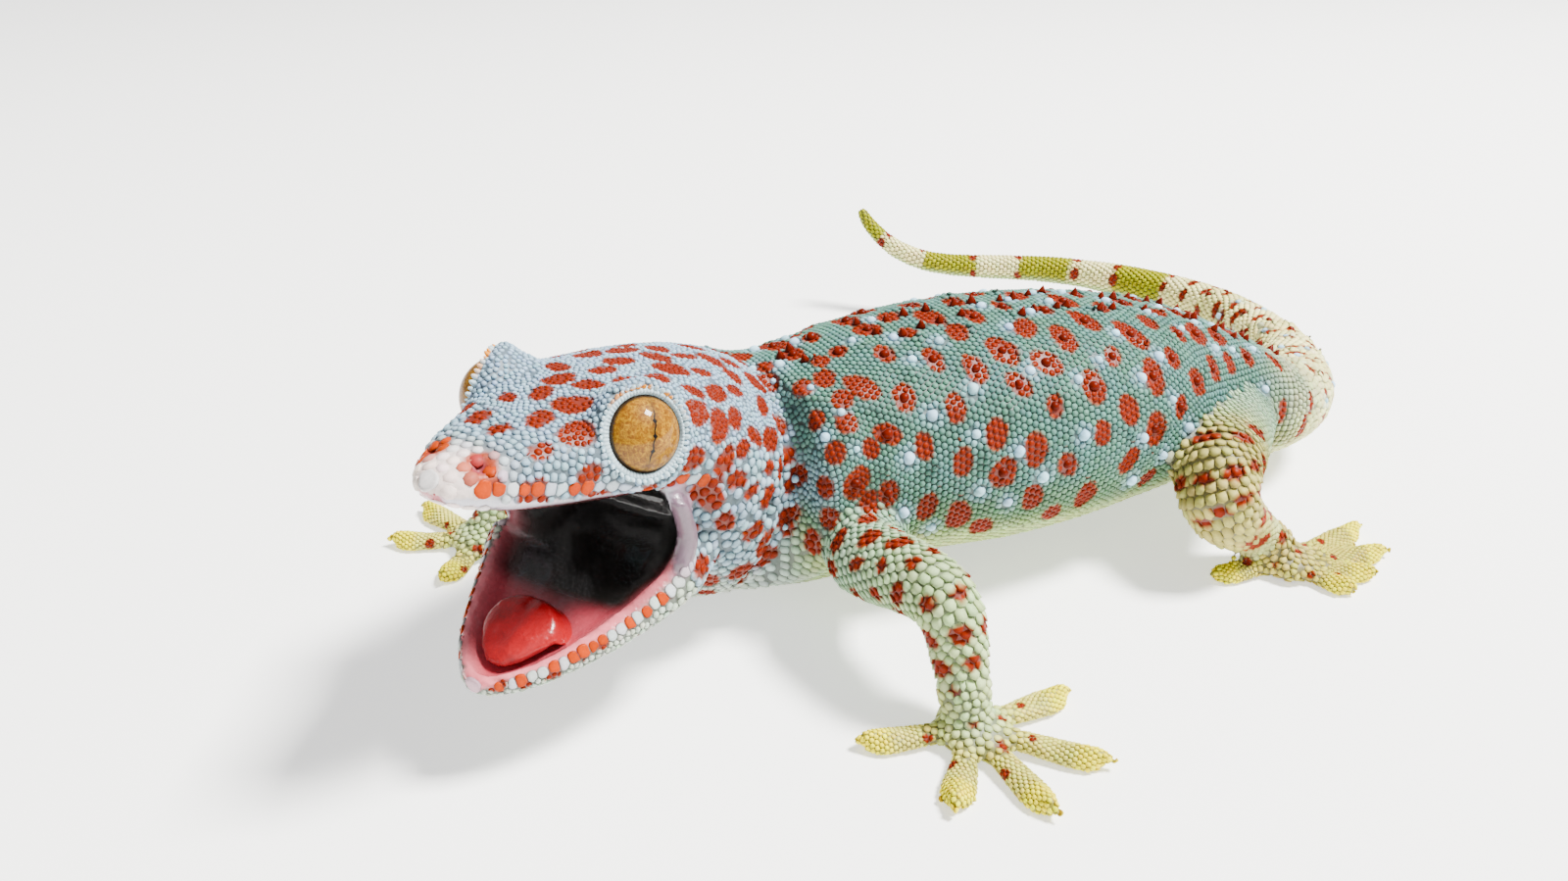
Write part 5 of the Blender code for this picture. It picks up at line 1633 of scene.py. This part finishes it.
def tube_faces(rings, start=0):
    """The faces of a closed tube: bands between its rings of points, and both its ends."""
    faces = []
    for a in range(start, start + (rings - 1) * RING_SIDES, RING_SIDES):
        b = a + RING_SIDES
        for i in range(RING_SIDES):
            after = (i + 1) % RING_SIDES
            faces.append((a + i, a + after, b + after, b + i))
    faces.append(tuple(range(start, start + RING_SIDES))[::-1])
    faces.append(tuple(range(start + (rings - 1) * RING_SIDES, start + rings * RING_SIDES)))
    return faces


def fringe_points(material):
    """The fringe's mesh about the origin, facing +Z, made once for both eyes."""
    source = placed("fringe source", tab_mesh())
    tree = fringe_tree(material)
    nodes = source.modifiers.new("fringe", "NODES")
    nodes.node_group = tree
    lean = -math.radians(LID_LEAN_DEG)
    values = {"Count": LID_TABS, "Radius": LID_TAB_RADIUS_MM * MM, "Lean": lean, "Seed": SEED}
    for item in tree.interface.items_tree:
        if item.in_out == "INPUT" and item.name in values:
            nodes[item.identifier] = values[item.name]
    return evaluated(source)


class GECKO_OT_lids(bpy.types.Operator):
    """Set a pale ribbed ring and its fringe of scales round each eye"""

    bl_idname = "gecko.lids"
    bl_label = "Lids"

    def execute(self, context):
        colours = context.scene.gecko_colours
        material = scale_material("gecko lid", 0.4)
        fringe = fringe_points(material)
        place, _ = mesh_arrays(fringe)
        for side, word in ((1, "left"), (-1, "right")):
            centre, look, across, up = eye_axes(side)
            front = -side * across
            ring = ring_mesh(f"lid_{word}", centre, look, across, up, lid_profile(side), LID_STEPS)
            points, _ = mesh_arrays(ring)
            away = points - centre
            # Painted shade: lighter on the lid's ribs, darker between them
            shade = 0.9 + 0.1 * np.sin(LID_RIBS * np.arctan2(away @ up, away @ across))
            paint(ring, "tint", linear(*colours.lid)[None] * shade[:, None])
            new_piece(f"lid_{word}", ring, material, "eye")
            own = fringe.copy()
            shift = centre + front * LID_SHIFT_MM + look * LID_TAB_RISE_MM
            points = shift + place[:, :1] * across + place[:, 1:2] * up + place[:, 2:] * look
            move_points(own, points)
            high = ramp(unit(points - centre) @ up, 0.15, 0.75)
            band = ramp(value_noise(points, 1.1, 31), 0.35, 0.55) * high
            paint(own, "tint", mix(linear(*colours.lid), linear(*colours.brow), band))
            new_piece(f"lid_fringe_{word}", own, material, "eye")
        bpy.data.meshes.remove(fringe)
        return {"FINISHED"}


def fading(tree, value, ends, levels, **settings):
    """A value turned into levels between two ends."""
    low, high = ends
    limits = {"From Min": low, "From Max": high, "To Min": levels[0], "To Max": levels[1]}
    return node(tree, "ShaderNodeMapRange", limits, {"Value": value}, **settings).outputs[0]


def eye_material(colours):
    """Golden iris with fine veins, a painted shadow round its rim and a slit of pinholes, under a glossy
    clear scale.
    """
    material, tree, shader = new_material("gecko eye")
    flat = attribute(tree, "iris_place", "Vector")
    place = node(tree, "ShaderNodeSeparateXYZ", links={0: flat})
    x, y = place.outputs["X"], place.outputs["Y"]
    far = node(tree, "ShaderNodeVectorMath", operation="LENGTH", links={0: flat})
    where = {"Vector": node(tree, "ShaderNodeTexCoord").outputs["Object"]}
    fine = {"Scale": 2600.0, "Detail": 8.0, "Roughness": 0.75, "Distortion": 0.6}
    veins = node(tree, "ShaderNodeTexNoise", fine, where)
    specks = node(tree, "ShaderNodeTexVoronoi", {"Scale": 4200.0}, where)
    gold = node(tree, "ShaderNodeValToRGB", links={0: veins.outputs[0]})
    first, second = linear(*colours.iris), linear(*colours.iris_light)
    steps = gold.color_ramp.elements
    steps[0].position, steps[0].color = 0.32, (*(first * 0.55), 1)
    steps[1].position, steps[1].color = 0.62, (*second, 1)
    steps.new(0.46).color = (*first, 1)

    def sums(operation, *terms):
        return math_node(tree, operation, *terms)

    speck = sums("MULTIPLY_ADD", specks.outputs["Distance"], 0.5, 0.75)
    # Painted shadow where the lid's edge meets the iris
    rim = fading(tree, far.outputs["Value"], IRIS_RIM_SHADOW, (1.0, 0.06), interpolation_type="SMOOTHSTEP")
    wave = sums("COSINE", sums("MULTIPLY", sums("ADD", y, 0.04), PINHOLE_TURNS))
    hole = sums("POWER", sums("MAXIMUM", wave, 0.0), 5.0)
    ends = fading(tree, sums("ABSOLUTE", sums("ADD", y, 0.03)), SLIT_ENDS, (1.0, 0.0))
    half = sums("MULTIPLY", sums("MULTIPLY_ADD", hole, 0.040, 0.018), ends)
    wobble = sums("ABSOLUTE", sums("MULTIPLY_ADD", sums("SINE", sums("MULTIPLY", y, 23.0)), 0.012, x))
    outside = sums("GREATER_THAN", wobble, half)
    near = fading(tree, wobble, (0.0, 0.16), (0.55, 1.0))
    shade = sums("MULTIPLY", sums("MULTIPLY", sums("MULTIPLY", rim, outside), speck), near)
    tree.links.new(shaded(tree, gold.outputs["Color"], shade), shader.inputs["Base Color"])
    shader.inputs["Roughness"].default_value = 0.5
    shader.inputs["Specular IOR Level"].default_value = 0.1
    shader.inputs["Coat Weight"].default_value = 0.30
    shader.inputs["Coat Roughness"].default_value = 0.03
    tree.links.new(bump(tree, veins.outputs[0], 0.25, 0.0001), shader.inputs["Normal"])
    return material


class GECKO_OT_eyes(bpy.types.Operator):
    """Make the two eyes: golden irises with a slit of pinholes"""

    bl_idname = "gecko.eyes"
    bl_label = "Eyes"

    def execute(self, context):
        material = eye_material(context.scene.gecko_colours)
        turns, rings = 96, 64
        for side, word in ((1, "left"), (-1, "right")):
            centre, look, across, up = eye_axes(side)
            points, faces = [(0.0, 0.0, 1.0)], []
            for ring in range(1, rings):
                tilt = math.pi * (ring / rings) ** 1.25
                wide, high = math.sin(tilt), math.cos(tilt)
                for step in range(turns):
                    turn = 2 * math.pi * step / turns
                    points.append((wide * math.cos(turn), wide * math.sin(turn), high))
            points.append((0.0, 0.0, -1.0))
            for step in range(turns):
                after = (step + 1) % turns
                faces.append((0, 1 + step, 1 + after))
                for ring in range(rings - 2):
                    a, b = 1 + ring * turns, 1 + (ring + 1) * turns
                    faces.append((a + step, b + step, b + after, a + after))
                last = 1 + (rings - 2) * turns
                faces.append((last + step, len(points) - 1, last + after))
            local = np.array(points)
            ball = centre + EYE_RADIUS_MM * (local[:, :1] * across + local[:, 1:2] * up + local[:, 2:] * look)
            mesh = new_mesh(f"eye_{word}", ball, faces)
            flat = mesh.attributes.new("iris_place", "FLOAT_VECTOR", "POINT")
            flat.data.foreach_set("vector", (local * (1, 1, 0)).astype(np.float32).ravel())
            new_piece(f"eyeball_{word}", mesh, material, "eye", f"eye_{word}")
        return {"FINISHED"}


class GECKO_OT_tongue(bpy.types.Operator):
    """Make the wet tongue: red and dimpled in front, darkened behind by painted shadow"""

    bl_idname = "gecko.tongue"
    bl_label = "Tongue"

    def execute(self, context):
        colours = context.scene.gecko_colours
        source = reworked(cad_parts["tongue"].data.copy(), weld=True)
        mesh = remeshed("tongue source", source, TONGUE_FACE_MM * MM)
        points, _ = mesh_arrays(mesh)
        means = edge_means(triangles(mesh), len(points))
        points = relaxed(points, means, np.full(len(points), TONGUE_ROUNDS))
        ahead, out, above = jaw_places(points)
        top = ramp(above, above.min() + 0.4 * np.ptp(above), above.max())
        dimple = np.exp(-(((ahead - TONGUE_DIMPLE[0]) / 1.5) ** 2) - ((out - TONGUE_DIMPLE[1]) / 1.1) ** 2)
        groove = bell(out, 0.0, 0.7) * ramp(ahead, 12.0, 16.0)
        end, long, wide = TONGUE_END
        round_end = np.hypot((ahead - end) / long, out / wide)
        sunk = TONGUE_SUNK_MM * ramp(round_end, *TONGUE_DIP) * ramp(ahead, end + 1, end - 1)
        lower = top * (0.8 * dimple + 0.25 * groove - 0.3 * rough(points, 1.6, 41)) + sunk
        points = points - np.outer(lower, jaw_axes()[3])
        move_points(mesh, points)
        # Painted shadow on the tongue's back: the dark mouth-shadow colour behind, red in front
        red = np.clip(ramp(ahead, *TONGUE_RED_AHEAD) + 0.25 * rough(points, 2.0, 42), 0, 1)
        paint(mesh, "tint", mix(linear(*colours.mouth_shadow) * 1.8, linear(*colours.tongue), red))
        paint(mesh, "wet", 0.15 + 0.40 * red)
        new_piece("tongue_flesh", mesh, skin_material("gecko tongue"), "mouth", "tongue")
        return {"FINISHED"}


def claw_rows(tip, heading):
    """One claw: rings from its thick root at a toe's tip, along the heading and down to its point."""
    side = np.cross((0.0, 0.0, 1.0), heading)
    rings = []
    for share in CLAW_SHARES:
        middle = tip + heading * (CLAW_LENGTH_MM * share - 0.5) + np.array([0, 0, -0.55 * share**2])
        wide = CLAW_WIDE_MM * (1 - share) ** 0.7
        for turn in 2 * math.pi * np.arange(RING_SIDES) / RING_SIDES:
            lift = np.array([0, 0, wide * math.sin(turn)])
            rings.append(middle + side * wide * math.cos(turn) * 0.8 + lift)
    return np.array(rings)


class GECKO_OT_claws(bpy.types.Operator):
    """Make the small hooked claws at the toes' tips"""

    bl_idname = "gecko.claws"
    bl_label = "Claws"

    def execute(self, context):
        points, faces, along = [], [], []
        for palm, digits in FEET.values():
            for bearing, reach in digits[1:]:
                heading = level_way(bearing)
                tip = np.array([*palm, 0.0]) + heading * (reach - CLAW_SET_BACK_MM)
                found = Skin.tree.ray_cast(Vector(tip + np.array([0, 0, 6.0])), Vector((0, 0, -1)))[0]
                tip[2] = (found.z if found else 1.2) - 0.15
                faces += tube_faces(len(CLAW_SHARES), len(points))
                points += claw_rows(tip, heading).tolist()
                along += np.repeat(np.linspace(0, 1, len(CLAW_SHARES)), RING_SIDES).tolist()
        points = np.array(points)
        points[:, 2] = np.maximum(points[:, 2], SOLE_HEIGHT_MM)
        mesh = reworked(new_mesh("claws", points, faces))
        dark = linear(*context.scene.gecko_colours.claw)
        paint(mesh, "tint", dark * (1.25 - 0.6 * np.array(along))[:, None])
        new_piece("claws", mesh, scale_material("gecko claw", 0.3), "foot_skin")
        return {"FINISHED"}


def colour(red, green, blue, name, description):
    return bpy.props.FloatVectorProperty(
        name=name, description=description, subtype="COLOR", size=3, min=0, max=1, default=(red, green, blue)
    )


def length(name, description, default):
    return bpy.props.FloatProperty(name=name, description=description, default=default, min=0, unit="LENGTH")


class GeckoSizes(bpy.types.PropertyGroup):
    """Sizes that a user may change"""

    skin_face: length("Skin face", "Side of the skin's small faces", 0.0006)
    trunk_scale: length("Trunk scale", "Distance between the scales of the back and flanks", 0.00088)
    belly_scale: length("Belly scale", "Distance between the scales under the trunk", 0.00118)
    head_scale: length("Head scale", "Distance between the scales on the head", 0.00058)
    limb_scale: length("Limb scale", "Distance across between the scales of the upper legs", 0.0011)
    wrist_scale: length("Wrist scale", "Distance across between the scales of the lower legs", 0.00140)
    foot_scale: length("Foot scale", "Distance between the scales on the toes", 0.00060)
    tail_scale: length("Tail scale", "Distance between the scales of the tail", 0.00105)


class GeckoColours(bpy.types.PropertyGroup):
    """Colours that a user may change"""

    back: colour(0.32, 0.475, 0.43, "Back", "Scales of the back")
    flank: colour(0.37, 0.50, 0.37, "Flank", "Scales of the sides")
    belly: colour(0.62, 0.69, 0.44, "Belly", "Scales under the trunk and tail")
    spot: colour(0.44, 0.10, 0.0, "Spot", "Middle of the spots on the trunk")
    spot_edge: colour(0.52, 0.20, 0.0, "Spot edge", "Edge of each spot")
    head_spot: colour(0.70, 0.225, 0.0, "Head spot", "Spots and patches on the head")
    head_top: colour(0.55, 0.655, 0.73, "Head top", "Scales on top of the head")
    cheek: colour(0.54, 0.64, 0.69, "Cheek", "Scales on the sides of the head")
    lip: colour(0.76, 0.76, 0.80, "Lip", "Plates along the lips")
    snout: colour(0.90, 0.83, 0.80, "Snout", "Scales round the snout's tip")
    chin: colour(0.68, 0.72, 0.66, "Chin", "Scales under the jaw and throat")
    upper_limb: colour(0.58, 0.70, 0.58, "Upper limb", "Scales near each leg's root")
    hind_limb: colour(0.66, 0.62, 0.34, "Hind limb", "Scales of the hind legs")
    lower_limb: colour(0.66, 0.74, 0.52, "Lower limb", "Scales near each wrist and ankle")
    palm: colour(0.78, 0.76, 0.36, "Hand and foot", "Scales on hands and feet")
    toe_tip: colour(0.90, 0.86, 0.0, "Toe tip", "Scales at the toes' ends")
    tail_olive: colour(0.56, 0.56, 0.0, "Tail olive", "Darker bands of the tail")
    tail_cream: colour(0.90, 0.87, 0.60, "Tail cream", "Lighter bands of the tail")
    tubercle_red: colour(0.36, 0.06, 0.0, "Red tubercle", "Raised scales in the spots")
    tubercle_pale: colour(0.64, 0.79, 0.87, "Pale tubercle", "Raised scales between the spots")
    brow: colour(0.84, 0.52, 0.10, "Brow", "Upper fringe of each lid")
    iris_light: colour(0.62, 0.45, 0.0, "Light iris", "Pale veins of the iris")
    gum: colour(0.88, 0.46, 0.50, "Gum", "Inside of the lips")
    mouth_flesh: colour(0.66, 0.22, 0.27, "Mouth", "Floor of the mouth")
    # Painted shadow deep in the open mouth and on its roof
    mouth_shadow: colour(0.075, 0.07, 0.065, "Throat", "Back of the mouth and its roof")
    mouth_corner: colour(0.72, 0.58, 0.67, "Mouth corner", "Fold at each corner of the mouth")
    lid: colour(0.68, 0.77, 0.80, "Lid", "Ring of skin round each eye")
    iris: colour(0.44, 0.265, 0.0, "Iris", "Ground colour of the iris")
    tongue: colour(0.60, 0.0, 0.05, "Tongue", "Tongue")
    claw: colour(0.42, 0.36, 0.28, "Claw", "Claws")
    floor: colour(0.97, 0.97, 0.96, "Floor", "Floor under the gecko")


def light(name, place, size, power, tone):
    """A soft square lamp that faces the gecko."""
    lamp = bpy.data.lights.new(name, "AREA")
    lamp.size, lamp.energy, lamp.color = size, power, tone
    made = placed(name, lamp)
    made.location = place
    made.rotation_euler = (Vector(LAMP_TARGET) - Vector(place)).to_track_quat("-Z", "Y").to_euler()


class GECKO_OT_stage(bpy.types.Operator):
    """Set up the pale floor, the soft light and the photograph's camera"""

    bl_idname = "gecko.stage"
    bl_label = "Stage"

    def execute(self, context):
        scene = context.scene
        mesh = bpy.data.meshes.new("floor")
        corners = [(x * FLOOR_HALF, y * FLOOR_HALF, 0) for x, y in ((-1, -1), (1, -1), (1, 1), (-1, 1))]
        mesh.from_pydata(corners, [], [(0, 1, 2, 3)])
        floor = placed("floor", mesh)
        material, _, shader = new_material("pale floor")
        for name, value in (
            ("Base Color", (*linear(*scene.gecko_colours.floor), 1.0)), ("Roughness", 0.9),
            ("Specular IOR Level", 0.0), ("Emission Color", WHITE), ("Emission Strength", FLOOR_GLOW),
        ):
            shader.inputs[name].default_value = value
        mesh.materials.append(material)
        for name, values in LAMPS.items():
            light(name, *values)
        world = bpy.data.worlds.new("studio")
        world.use_nodes = True
        around = world.node_tree.nodes["Background"].inputs
        around["Color"].default_value, around["Strength"].default_value = WHITE, WORLD_STRENGTH
        scene.world = world
        camera = bpy.data.cameras.new("camera")
        camera.lens, camera.sensor_width = CAMERA_LENS_MM, CAMERA_SENSOR_MM
        camera.clip_start, camera.clip_end = CAMERA_CLIP
        scene.camera = placed("camera", camera)
        scene.camera.location = CAMERA_PLACE
        scene.camera.rotation_euler = (math.radians(CAMERA_TILT_DEG), 0.0, math.radians(CAMERA_TURN_DEG))
        return {"FINISHED"}


OPERATORS = (
    GECKO_OT_stage, GECKO_OT_skin, GECKO_OT_scales, GECKO_OT_lids, GECKO_OT_eyes, GECKO_OT_tongue,
    GECKO_OT_claws,
)


class GECKO_PT_panel(bpy.types.Panel):
    """Sidebar panel that lists the gecko's pieces"""

    bl_label = "Gecko"
    bl_idname = "GECKO_PT_panel"
    bl_space_type = "VIEW_3D"
    bl_region_type = "UI"
    bl_category = "Gecko"

    def draw(self, context):
        for operator in OPERATORS:
            self.layout.operator(operator.bl_idname)
        for settings in (context.scene.gecko_sizes, context.scene.gecko_colours):
            for key in settings.__annotations__:
                self.layout.prop(settings, key)


CLASSES = (GeckoSizes, GeckoColours, *OPERATORS, GECKO_PT_panel)


def register():
    for made in CLASSES:
        bpy.utils.register_class(made)
    bpy.types.Scene.gecko_sizes = bpy.props.PointerProperty(type=GeckoSizes)
    bpy.types.Scene.gecko_colours = bpy.props.PointerProperty(type=GeckoColours)


def unregister():
    del bpy.types.Scene.gecko_colours
    del bpy.types.Scene.gecko_sizes
    for made in reversed(CLASSES):
        bpy.utils.unregister_class(made)


def main():
    register()
    for operator in OPERATORS:
        group, name = operator.bl_idname.split(".")
        getattr(getattr(bpy.ops, group), name)()


if __name__ == "__main__":
    main()
